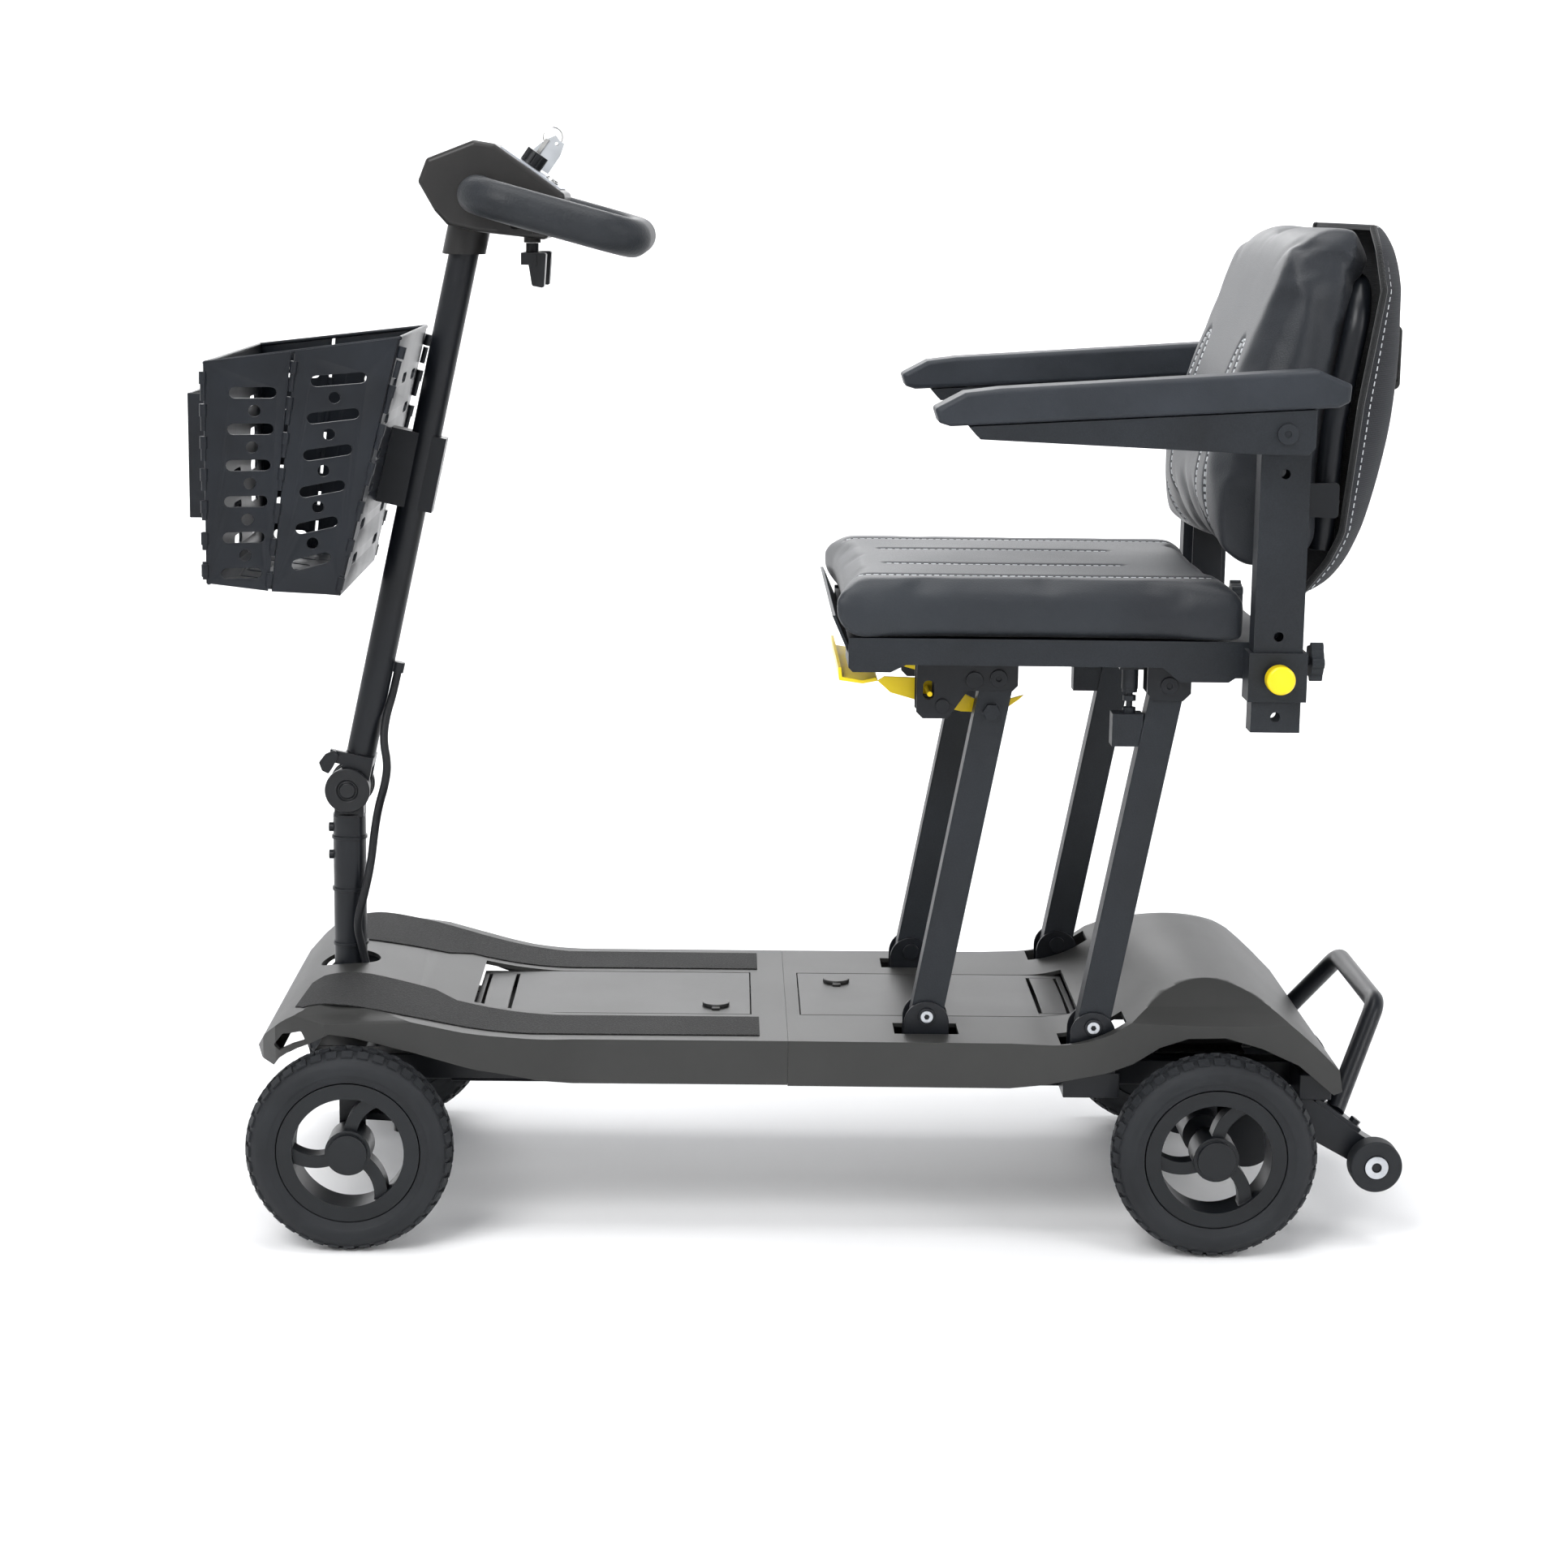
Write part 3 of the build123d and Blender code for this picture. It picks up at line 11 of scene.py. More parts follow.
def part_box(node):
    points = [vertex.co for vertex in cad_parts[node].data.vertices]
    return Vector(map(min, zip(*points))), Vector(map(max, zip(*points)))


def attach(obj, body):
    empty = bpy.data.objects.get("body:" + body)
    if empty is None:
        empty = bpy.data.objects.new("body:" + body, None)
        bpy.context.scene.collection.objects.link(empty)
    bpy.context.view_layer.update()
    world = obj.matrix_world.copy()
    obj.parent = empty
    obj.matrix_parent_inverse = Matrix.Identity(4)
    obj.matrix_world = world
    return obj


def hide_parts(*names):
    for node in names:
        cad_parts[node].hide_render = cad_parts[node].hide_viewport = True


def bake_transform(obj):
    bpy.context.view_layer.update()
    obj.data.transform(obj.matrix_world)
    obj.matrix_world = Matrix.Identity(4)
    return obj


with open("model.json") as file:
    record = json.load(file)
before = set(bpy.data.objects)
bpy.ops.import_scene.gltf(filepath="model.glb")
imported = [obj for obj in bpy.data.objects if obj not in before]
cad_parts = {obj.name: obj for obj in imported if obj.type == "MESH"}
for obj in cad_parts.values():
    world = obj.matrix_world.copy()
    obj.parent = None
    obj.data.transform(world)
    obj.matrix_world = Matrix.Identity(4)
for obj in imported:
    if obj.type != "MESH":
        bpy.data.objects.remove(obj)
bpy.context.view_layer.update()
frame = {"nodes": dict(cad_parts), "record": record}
cadNodes = frame["nodes"]
bodyOfNode = {n: b for b, names in frame["record"]["behaviour"]["bodies"].items() for n in names}
slotOfNode = {row["node"]: row["material_slot"] for row in frame["record"]["subparts"]}
scene = bpy.context.scene
print("frame loaded:", len(cadNodes), "nodes")

# camera, seen from the rider's left at about hand height
camera = dict(place=(0.0695, 2.9925, 0.9613), turn=1.15, tilt=10.65, roll=0.8, lens=72.3)


def makeCamera():
    turn, tilt, roll = (math.radians(camera[k]) for k in ("turn", "tilt", "roll"))
    ahead = Vector((-math.sin(turn) * math.cos(tilt), -math.cos(turn) * math.cos(tilt), -math.sin(tilt)))
    right = ahead.cross(Vector((0, 0, 1))).normalized()
    up = right.cross(ahead)
    rolledRight = right * math.cos(roll) + up * math.sin(roll)
    rolledUp = up * math.cos(roll) - right * math.sin(roll)
    data = bpy.data.cameras.new("studioCamera")
    data.lens, data.sensor_width = camera["lens"], 36.0
    data.clip_end = 50
    obj = bpy.data.objects.new("studioCamera", data)
    scene.collection.objects.link(obj)
    turned = Matrix((rolledRight, rolledUp, -ahead)).transposed().to_4x4()
    obj.matrix_world = Matrix.Translation(camera["place"]) @ turned
    scene.camera = obj


makeCamera()


# finishes
def linear(hexColour):
    parts = [int(hexColour[i:i + 2], 16) / 255 for i in (1, 3, 5)]
    return [c / 12.92 if c <= 0.04045 else ((c + 0.055) / 1.055) ** 2.4 for c in parts] + [1.0]


def addNode(tree, kind, links=None, **settings):
    node = tree.nodes.new(kind)
    for key, value in settings.items():
        setattr(node, key, value)
    for key, value in (links or {}).items():
        socket = node.inputs[key]
        if isinstance(value, bpy.types.NodeSocket):
            tree.links.new(value, socket)
        else:
            socket.default_value = value
    return node


def grainHeight(tree, where, kind, size):
    # height of one surface texture, 0 to 1; size is the spacing of its grains in millimetres
    scale = 1000.0 / size
    if kind == "pebble":
        cells = addNode(tree, "ShaderNodeTexVoronoi", {"Vector": where, "Scale": scale, "Smoothness": 0.6},
                        feature="SMOOTH_F1")
        return cells.outputs["Distance"]
    if kind == "leather":
        drift = addNode(tree, "ShaderNodeTexNoise", {"Vector": where, "Scale": scale * 0.4, "Detail": 2.0})
        pushed = addNode(tree, "ShaderNodeVectorMath", {0: drift.outputs["Color"], "Scale": size * 0.0016},
                         operation="SCALE")
        bent = addNode(tree, "ShaderNodeVectorMath", {0: where, 1: pushed.outputs[0]}, operation="ADD")
        cells = addNode(tree, "ShaderNodeTexVoronoi", {"Vector": bent.outputs[0], "Scale": scale},
                        feature="DISTANCE_TO_EDGE")
        creases = addNode(tree, "ShaderNodeMapRange", {"Value": cells.outputs["Distance"], "From Max": 0.22})
        return creases.outputs[0]
    if kind == "weave":
        warp = addNode(tree, "ShaderNodeTexWave", {"Vector": where, "Scale": scale * 0.32}, bands_direction="Y")
        weft = addNode(tree, "ShaderNodeTexWave", {"Vector": where, "Scale": scale * 0.32}, bands_direction="Z")
        return addNode(tree, "ShaderNodeMath", {0: warp.outputs["Fac"], 1: weft.outputs["Fac"]},
                       operation="MAXIMUM").outputs[0]
    noise = addNode(tree, "ShaderNodeTexNoise", {"Vector": where, "Scale": scale, "Detail": 3.0, "Roughness": 0.6})
    return noise.outputs["Fac"]


def makeFinish(name, dark, light, rough, metallic=0.0, ior=1.36, grain=None, depth=0.1, patches=90, coat=0.0,
               sheen=0.0, speckle=0.0, paintedTopLight=None):
    # dark and light are the two colours that a slow noise mixes, rough the range it takes the gloss through,
    # grain (kind, millimetres) and depth in millimetres the surface texture, patches the size of the mottling
    made = bpy.data.materials.new(name)
    made.use_nodes = True
    tree = made.node_tree
    shader = tree.nodes["Principled BSDF"]
    where = addNode(tree, "ShaderNodeTexCoord").outputs["Object"]
    drift = addNode(tree, "ShaderNodeTexNoise", {"Vector": where, "Scale": 1000.0 / patches, "Detail": 4.0})
    blendAmount = addNode(tree, "ShaderNodeMapRange", {"Value": drift.outputs["Fac"], "From Min": 0.3,
                                                       "From Max": 0.7}).outputs[0]
    colour = addNode(tree, "ShaderNodeMix", {"Factor": blendAmount, "A": linear(dark), "B": linear(light)},
                     data_type="RGBA").outputs["Result"]
    roughness = addNode(tree, "ShaderNodeMapRange", {"Value": drift.outputs["Fac"], "To Min": rough[0],
                                                     "To Max": rough[1]}).outputs[0]
    if grain:
        height = grainHeight(tree, where, *grain)
        if speckle:
            lift = addNode(tree, "ShaderNodeMapRange", {"Value": height, "From Min": 0.35, "From Max": 0.75,
                                                        "To Min": 1.0 - speckle, "To Max": 1.0 + speckle}).outputs[0]
            colour = addNode(tree, "ShaderNodeVectorMath", {0: colour, "Scale": lift}, operation="SCALE").outputs[0]
        bump = addNode(tree, "ShaderNodeBump", {"Height": height, "Distance": depth * 0.001, "Strength": 1.0})
        tree.links.new(bump.outputs[0], shader.inputs["Normal"])
    if paintedTopLight:
        # painted top light: faces that look up are mixed toward a paler grey, as if lit from above
        facing = addNode(tree, "ShaderNodeSeparateXYZ",
                         {0: addNode(tree, "ShaderNodeNewGeometry").outputs["Normal"]}).outputs["Z"]
        amount = addNode(tree, "ShaderNodeMapRange", {"Value": facing, "From Min": 0.2, "From Max": 1.0,
                                                      "To Max": paintedTopLight[1]}).outputs[0]
        colour = addNode(tree, "ShaderNodeMix", {"Factor": amount, "A": colour, "B": linear(paintedTopLight[0])},
                         data_type="RGBA").outputs["Result"]
    tree.links.new(colour, shader.inputs["Base Color"])
    tree.links.new(roughness, shader.inputs["Roughness"])
    shader.inputs["Metallic"].default_value = metallic
    shader.inputs["IOR"].default_value = ior
    shader.inputs["Coat Weight"].default_value = coat
    shader.inputs["Coat Roughness"].default_value = 0.25
    shader.inputs["Sheen Weight"].default_value = sheen
    shader.inputs["Sheen Roughness"].default_value = 0.5
    return made


finishes = {
    # satin powder coat on steel tube: blue-black, soft highlights, faint orange peel
    "satinPowderCoat": makeFinish("satinPowderCoat", "#0c0e12", "#12151a", (0.30, 0.42), grain=("peel", 3.0),
                                  depth=0.035),
    # fine-textured powder coat on seat steel: greyer, a sandy tooth drawn twice its real size so that it shows
    "texturedPowderCoat": makeFinish("texturedPowderCoat", "#16191d", "#1d2126", (0.42, 0.55), grain=("peel", 1.4),
                                     depth=0.10, speckle=0.18),
    # vulcanised tyre rubber: soft black-grey, nearly matt, a little scuffed
    "tyreRubber": makeFinish("tyreRubber", "#17191c", "#202225", (0.55, 0.72), grain=("peel", 2.0), depth=0.05,
                             patches=40),
    # glass-filled nylon wheel moulding: satin black
    "wheelNylon": makeFinish("wheelNylon", "#0f1114", "#15181b", (0.30, 0.42), grain=("peel", 1.6), depth=0.03),
    # ABS deck covers moulded with a fine spark-erosion grain: neutral charcoal, with painted top light on faces that
    # look up
    "deckAbs": makeFinish("deckAbs", "#2b2b2a", "#333332", (0.38, 0.50), grain=("peel", 1.2), depth=0.05,
                          patches=160, paintedTopLight=("#5c5c5b", 0.05)),
    # grit-filled vinyl foot pads: rough and dark, grit drawn at 1.6 mm so that it shows
    "gritVinyl": makeFinish("gritVinyl", "#181818", "#222222", (0.72, 0.88), grain=("pebble", 1.6), depth=0.35,
                            speckle=0.45),
    # ABS battery lids and small mouldings: the deck's colour, a little smoother
    "lidAbs": makeFinish("lidAbs", "#242424", "#2c2c2b", (0.34, 0.46), grain=("peel", 1.5), depth=0.04),
    # woven nylon strap: matt black with a coarse rib
    "strapWebbing": makeFinish("strapWebbing", "#111213", "#1a1b1c", (0.80, 0.95), grain=("weave", 1.6), depth=0.25,
                               sheen=0.3),
    # die-cast motor end bell: pale grey metal, dull
    "castAlloy": makeFinish("castAlloy", "#7f8286", "#a0a3a7", (0.38, 0.55), metallic=0.9, grain=("peel", 2.5),
                            depth=0.06),
    # bright zinc plate on bolts and bearings
    "zincPlate": makeFinish("zincPlate", "#a9acb0", "#c2c5c9", (0.22, 0.36), metallic=1.0, patches=12),
    # black oxide on screws: dark, slightly metallic
    "blackOxide": makeFinish("blackOxide", "#0d0e10", "#16181b", (0.28, 0.40), metallic=0.6, patches=12),
    # gloss yellow powder coat on the release lever
    "yellowPowderCoat": makeFinish("yellowPowderCoat", "#e8c60c", "#f4d81d", (0.26, 0.36), grain=("peel", 3.0),
                                   depth=0.03, patches=60),
    # glossy injection-moulded yellow plastic on the height plungers
    "yellowPlastic": makeFinish("yellowPlastic", "#e2c40c", "#ecd01a", (0.22, 0.30), coat=0.2, patches=40),
    # coated vinyl upholstery: slate grey with a fine leather grain and a soft sheen, grain drawn at 2.4 mm
    "slateVinyl": makeFinish("slateVinyl", "#1b1e23", "#23272c", (0.40, 0.54), grain=("leather", 2.4), depth=0.07,
                             patches=120, sheen=0.10),
    # spacer fabric at the back of the seat: dark, matt, visibly woven
    "slingFabric": makeFinish("slingFabric", "#0b0d12", "#12151c", (0.82, 0.95), grain=("weave", 2.0), depth=0.25,
                              sheen=0.06),
    # bonded polyester sewing thread: off-white
    "sewingThread": makeFinish("sewingThread", "#b9bcc0", "#d6d8da", (0.55, 0.70), patches=8),
    # integral-skin foam on armrests: grey-blue with pebbles of about 1.5 mm
    "armrestFoam": makeFinish("armrestFoam", "#1f2328", "#292d33", (0.46, 0.60), grain=("pebble", 1.5), depth=0.12,
                              patches=70),
    # skinned foam on the steering loop: darker, with a coarser orange peel
    "loopFoam": makeFinish("loopFoam", "#191c20", "#222529", (0.44, 0.60), grain=("pebble", 2.2), depth=0.20,
                           patches=50),
    # ABS tiller head: warm charcoal, smooth satin
    "headAbs": makeFinish("headAbs", "#1e1d1d", "#272625", (0.32, 0.44), grain=("peel", 1.2), depth=0.03),
    # printed silver panel film
    "panelFilm": makeFinish("panelFilm", "#aeb2b9", "#c3c7cd", (0.24, 0.34), metallic=0.35, patches=25),
    # nickel-plated key and button
    "nickelPlate": makeFinish("nickelPlate", "#b4b4b2", "#d0cfcc", (0.12, 0.24), metallic=1.0, patches=8),
    # moulded acetal key tags: pale grey, so that they stand out from a white room
    "greyAcetal": makeFinish("greyAcetal", "#a4a7ab", "#b4b7ba", (0.30, 0.40), patches=20),
    # polypropylene basket panels: deep blue-black with soft moulding sheen
    "basketPolypropylene": makeFinish("basketPolypropylene", "#0e1116", "#161a20", (0.28, 0.42),
                                      grain=("peel", 4.0), depth=0.06, patches=60),
    # PVC cable sheath
    "cableSheath": makeFinish("cableSheath", "#101114", "#17191c", (0.40, 0.52), patches=20),
    # glossy black phenolic knobs
    "blackKnob": makeFinish("blackKnob", "#121315", "#1a1b1e", (0.26, 0.38), patches=20),
    # natural rubber stops
    "stopRubber": makeFinish("stopRubber", "#0f1011", "#18191a", (0.62, 0.78), patches=15),
}
print("finishes made:", len(finishes))


# mesh helpers
def pieceFrom(name, mesh):
    obj = bpy.data.objects.new(name, mesh)
    scene.collection.objects.link(obj)
    return obj


def meshPiece(name, points, faces, finish, smoothBelow=40):
    mesh = bpy.data.meshes.new(name)
    mesh.from_pydata([tuple(p) for p in points], [], faces)
    mesh.validate()
    mesh.materials.append(finishes[finish])
    shadeByAngle(mesh, smoothBelow)
    return pieceFrom(name, mesh)


def shadeByAngle(mesh, degrees):
    mesh.polygons.foreach_set("use_smooth", [True] * len(mesh.polygons))
    mesh.set_sharp_from_angle(angle=math.radians(degrees))


def baked(obj):
    # the evaluated object as a plain mesh, with its modifiers gone
    bpy.context.view_layer.update()
    mesh = bpy.data.meshes.new_from_object(obj.evaluated_get(bpy.context.evaluated_depsgraph_get()))
    old = obj.data
    obj.modifiers.clear()
    if obj.type == "MESH":
        obj.data = mesh
        if old.users == 0:
            bpy.data.meshes.remove(old)
        return obj
    name = obj.name
    bpy.data.objects.remove(obj)
    return pieceFrom(name, mesh)


def settle(obj, body, slotName=None, stands=()):
    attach(obj, body)
    if stands:
        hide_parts(*stands)
    return obj


def islands(bm):
    # lists of faces that hang together
    left = set(bm.faces)
    while left:
        group, queue = [], [left.pop()]
        while queue:
            face = queue.pop()
            group.append(face)
            for edge in face.edges:
                for other in edge.link_faces:
                    if other in left:
                        left.remove(other)
                        queue.append(other)
        yield group


def softened(node, finish, edge=0.8, steps=2, rules=(), slim=None):
    # a copy of a CAD solid whose flat faces are rejoined and whose hard edges are rounded by edge millimetres;
    # rules is a list of (finish, test) where test gets the lowest and highest corner of each separate solid in mm
    mesh = cadNodes[node].data.copy()
    bm = bmesh.new()
    bm.from_mesh(mesh)
    bmesh.ops.remove_doubles(bm, verts=bm.verts, dist=1e-5)
    bmesh.ops.dissolve_limit(bm, angle_limit=math.radians(0.4), verts=bm.verts, edges=bm.edges)
    names = [finish]
    for group in islands(bm):
        corners = np.array([v.co for f in group for v in f.verts]) * 1000
        low, high = corners.min(0), corners.max(0)
        if slim and slim[0](low, high):
            # a solid drawn in across the machine by this share of its width
            for vertex in {v for f in group for v in f.verts}:
                vertex.co.y *= slim[1]
        for other, test in rules:
            if test(low, high):
                if other not in names:
                    names.append(other)
                for face in group:
                    face.material_index = names.index(other)
                break
        else:
            for face in group:
                face.material_index = 0
    bm.to_mesh(mesh)
    bm.free()
    mesh.materials.clear()
    for each in names:
        mesh.materials.append(finishes[each])
    shadeByAngle(mesh, 35)
    obj = pieceFrom(node + "_finished", mesh)
    if edge:
        bevel = obj.modifiers.new("roundedEdges", "BEVEL")
        bevel.width, bevel.segments, bevel.limit_method = edge * 0.001, steps, "ANGLE"
        bevel.angle_limit, bevel.use_clamp_overlap = math.radians(38), True
        flat = obj.modifiers.new("flatFaces", "WEIGHTED_NORMAL")
        flat.keep_sharp = True
        obj = baked(obj)
    return settle(obj, bodyOfNode[node], slotOfNode[node], [node])


def ringOnPlane(centre, along, radius, count, start=0.0, across=None):
    side = (across or along.orthogonal()).normalized()
    up = along.cross(side).normalized()
    return [centre + (side * math.cos(start + 2 * math.pi * k / count)
                      + up * math.sin(start + 2 * math.pi * k / count)) * radius for k in range(count)]


def smoothLine(points, samples, closed=False):
    # an even run of points along the smooth curve through the given ones
    pts = [Vector(p) for p in points]
    count = len(pts)
    spans = count if closed else count - 1
    made = []
    for k in range(samples):
        t = k / (samples if closed else samples - 1) * spans
        i = min(int(t), spans - 1)
        f = t - i
        if closed:
            a, b, c, d = (pts[(i + j) % count] for j in (-1, 0, 1, 2))
        else:
            a, b, c, d = (pts[max(0, min(count - 1, i + j))] for j in (-1, 0, 1, 2))
        made.append(0.5 * ((2 * b) + (c - a) * f + (2 * a - 5 * b + 4 * c - d) * f * f
                           + (3 * b - 3 * c + d - a) * f ** 3))
    return made


def tube(name, line, radius, finish, sides=16, closed=False):
    count = len(line)
    points, faces = [], []
    side = None
    for k, here in enumerate(line):
        before = line[k - 1] if (k or closed) else here
        after = line[(k + 1) % count] if (k < count - 1 or closed) else here
        along = (after - before).normalized()
        side = along.orthogonal() if side is None else side - along * side.dot(along)
        side.normalize()
        ring = ringOnPlane(here, along, radius, sides, across=side)
        points += ring
    spans = count if closed else count - 1
    if closed:
        # the frame may arrive turned by part of a circle, so the last span joins the nearest corners
        turn = min(range(sides), key=lambda j: (points[(count - 1) * sides] - points[j]).length)
    for k in range(spans):
        nxt = (k + 1) % count
        shift = turn if closed and k == count - 1 else 0
        for j in range(sides):
            a, b = k * sides + j, k * sides + (j + 1) % sides
            c, d = nxt * sides + (j + 1 + shift) % sides, nxt * sides + (j + shift) % sides
            faces.append((a, b, c, d))
    if not closed:
        faces.append(tuple(reversed(range(sides))))
        faces.append(tuple(range((count - 1) * sides, count * sides)))
    obj = meshPiece(name, points, faces, finish, 50)
    outwards(obj.data)
    return obj


def outwards(mesh):
    bm = bmesh.new()
    bm.from_mesh(mesh)
    bmesh.ops.recalc_face_normals(bm, faces=bm.faces)
    bm.to_mesh(mesh)
    bm.free()


def flatPanel(name, outline, holes, thick, edge, finish, toPlace):
    # a sheet cut from an outline and holes given in metres, with rounded edges, moved to its plane
    curve = bpy.data.curves.new(name, "CURVE")
    curve.dimensions, curve.fill_mode = "2D", "BOTH"
    curve.extrude, curve.bevel_depth, curve.bevel_resolution = thick / 2 - edge, edge, 1
    curve.offset = -edge
    for loop in [outline] + holes:
        spline = curve.splines.new("POLY")
        spline.points.add(len(loop) - 1)
        for point, (x, y) in zip(spline.points, loop):
            point.co = (x, y, 0, 1)
        spline.use_cyclic_u = True
    obj = baked(pieceFrom(name, curve))
    mesh = obj.data
    mesh.transform(toPlace)
    bm = bmesh.new()
    bm.from_mesh(mesh)
    bmesh.ops.remove_doubles(bm, verts=bm.verts, dist=1e-6)
    bmesh.ops.recalc_face_normals(bm, faces=bm.faces)
    bm.to_mesh(mesh)
    bm.free()
    mesh.materials.clear()
    mesh.materials.append(finishes[finish])
    shadeByAngle(mesh, 25)
    flat = obj.modifiers.new("flatFaces", "WEIGHTED_NORMAL")
    flat.keep_sharp = True
    return baked(obj)


def joined(name, parts):
    # several objects as one, keeping their finishes
    bm = bmesh.new()
    names = []
    for part in parts:
        start = len(bm.faces)
        slots = []
        for material in part.data.materials:
            if material not in names:
                names.append(material)
            slots.append(names.index(material))
        bm.from_mesh(part.data)
        bm.faces.ensure_lookup_table()
        for face in bm.faces[start:]:
            face.material_index = slots[min(face.material_index, len(slots) - 1)]
    mesh = bpy.data.meshes.new(name)
    bm.to_mesh(mesh)
    bm.free()
    for material in names:
        mesh.materials.append(material)
    for part in parts:
        bpy.data.objects.remove(part)
    mesh.set_sharp_from_angle(angle=math.radians(25))
    return pieceFrom(name, mesh)


# repeats made with geometry nodes
def newTree(name, inputs):
    tree = bpy.data.node_groups.new(name, "GeometryNodeTree")
    tree.interface.new_socket("Geometry", in_out="INPUT", socket_type="NodeSocketGeometry")
    tree.interface.new_socket("Geometry", in_out="OUTPUT", socket_type="NodeSocketGeometry")
    for label, (kind, value) in inputs.items():
        socket = tree.interface.new_socket(label, in_out="INPUT", socket_type="NodeSocket" + kind)
        if value is not None:
            socket.default_value = value
    return tree, addNode(tree, "NodeGroupInput"), addNode(tree, "NodeGroupOutput")


def runTree(obj, tree, values):
    modifier = obj.modifiers.new(tree.name, "NODES")
    modifier.node_group = tree
    for item in tree.interface.items_tree:
        if item.name in values and item.in_out == "INPUT":
            modifier[item.identifier] = values[item.name]
    return baked(obj)


def closeTree(tree, given, result, out, keepInput=True):
    solid = addNode(tree, "GeometryNodeRealizeInstances", {0: result})
    dressed = addNode(tree, "GeometryNodeSetMaterial", {"Geometry": solid.outputs[0],
                                                        "Material": given.outputs["Finish"]})
    joint = addNode(tree, "GeometryNodeJoinGeometry")
    tree.links.new(dressed.outputs[0], joint.inputs[0])
    if keepInput:
        tree.links.new(given.outputs["Geometry"], joint.inputs[0])
    tree.links.new(joint.outputs[0], out.inputs[0])


def makeTreadTree():
    # three staggered rows of tread blocks round a tyre lying in the XZ plane
    tree, given, out = newTree("treadBlocks", {
        "Count": ("Int", 40), "Radius": ("Float", 0.09), "Block Length": ("Float", 0.01),
        "Block Width": ("Float", 0.01), "Block Height": ("Float", 0.004), "Row Offset": ("Float", 0.01),
        "Finish": ("Material", None)})
    joint = addNode(tree, "GeometryNodeJoinGeometry")
    for row, sink, tilt in ((-1, 1.0, 0.42), (0, 0.0, 0.0), (1, 1.0, -0.42)):
        ring = addNode(tree, "GeometryNodeMeshCircle", {"Vertices": given.outputs["Count"],
                                                        "Radius": given.outputs["Radius"]})
        shift = addNode(tree, "ShaderNodeMath", {0: given.outputs["Row Offset"], 1: float(row)},
                        operation="MULTIPLY")
        place = addNode(tree, "ShaderNodeCombineXYZ", {"Z": shift.outputs[0]})
        turned = addNode(tree, "GeometryNodeTransform", {
            "Geometry": ring.outputs[0], "Translation": place.outputs[0],
            "Rotation": (0.0, 0.0, 0.0 if row else math.pi / 40)})
        size = addNode(tree, "ShaderNodeCombineXYZ", {"X": given.outputs["Block Height"],
                                                      "Y": given.outputs["Block Length"],
                                                      "Z": given.outputs["Block Width"]})
        block = addNode(tree, "GeometryNodeMeshCube", {"Size": size.outputs[0]})
        where = addNode(tree, "GeometryNodeInputPosition")
        flat = addNode(tree, "ShaderNodeVectorMath", {0: where.outputs[0], 1: (1.0, 1.0, 0.0)},
                       operation="MULTIPLY")
        facing = addNode(tree, "FunctionNodeAlignRotationToVector", {"Vector": flat.outputs[0]}, axis="X",
                         pivot_axis="Z")
        inward = addNode(tree, "GeometryNodeTransform", {
            "Geometry": block.outputs[0], "Translation": (-0.0022 * sink, 0.0, 0.0), "Rotation": (0.0, tilt, 0.0)})
        rows = addNode(tree, "GeometryNodeInstanceOnPoints", {
            "Points": turned.outputs[0], "Instance": inward.outputs[0], "Rotation": facing.outputs[0]})
        tree.links.new(rows.outputs[0], joint.inputs[0])
    upright = addNode(tree, "GeometryNodeTransform", {"Geometry": joint.outputs[0],
                                                      "Rotation": (math.pi / 2, 0.0, 0.0)})
    closeTree(tree, given, upright.outputs[0], out)
    return tree


def makeStitchTree():
    # one small rounded thread every Spacing along the given polyline
    tree, given, out = newTree("stitchRow", {
        "Spacing": ("Float", 0.006), "Stitch Length": ("Float", 0.004), "Thread": ("Float", 0.0005),
        "Finish": ("Material", None)})
    line = addNode(tree, "GeometryNodeMeshToCurve", {"Mesh": given.outputs["Geometry"]})
    spots = addNode(tree, "GeometryNodeCurveToPoints", {"Curve": line.outputs[0],
                                                        "Length": given.outputs["Spacing"]}, mode="LENGTH")
    stitch = addNode(tree, "GeometryNodeMeshCylinder", {"Vertices": 6, "Radius": given.outputs["Thread"],
                                                        "Depth": given.outputs["Stitch Length"]})
    rows = addNode(tree, "GeometryNodeInstanceOnPoints", {
        "Points": spots.outputs["Points"], "Instance": stitch.outputs[0], "Rotation": spots.outputs["Rotation"]})
    closeTree(tree, given, rows.outputs[0], out, keepInput=False)
    return tree


def makeKnuckleTree():
    # hinge knuckles spaced along the given polyline, each a short barrel in line with it
    tree, given, out = newTree("hingeKnuckles", {
        "Count": ("Int", 6), "Barrel Length": ("Float", 0.01), "Barrel Radius": ("Float", 0.003),
        "Finish": ("Material", None)})
    line = addNode(tree, "GeometryNodeMeshToCurve", {"Mesh": given.outputs["Geometry"]})
    spots = addNode(tree, "GeometryNodeCurveToPoints", {"Curve": line.outputs[0], "Count": given.outputs["Count"]},
                    mode="COUNT")
    barrel = addNode(tree, "GeometryNodeMeshCylinder", {"Vertices": 14, "Radius": given.outputs["Barrel Radius"],
                                                        "Depth": given.outputs["Barrel Length"]})
    rows = addNode(tree, "GeometryNodeInstanceOnPoints", {
        "Points": spots.outputs["Points"], "Instance": barrel.outputs[0], "Rotation": spots.outputs["Rotation"]})
    closeTree(tree, given, rows.outputs[0], out, keepInput=False)
    return tree


treadTree, stitchTree, knuckleTree = makeTreadTree(), makeStitchTree(), makeKnuckleTree()


def polyline(name, points):
    mesh = bpy.data.meshes.new(name)
    mesh.from_pydata([tuple(p) for p in points], [(k, k + 1) for k in range(len(points) - 1)], [])
    return pieceFrom(name, mesh)


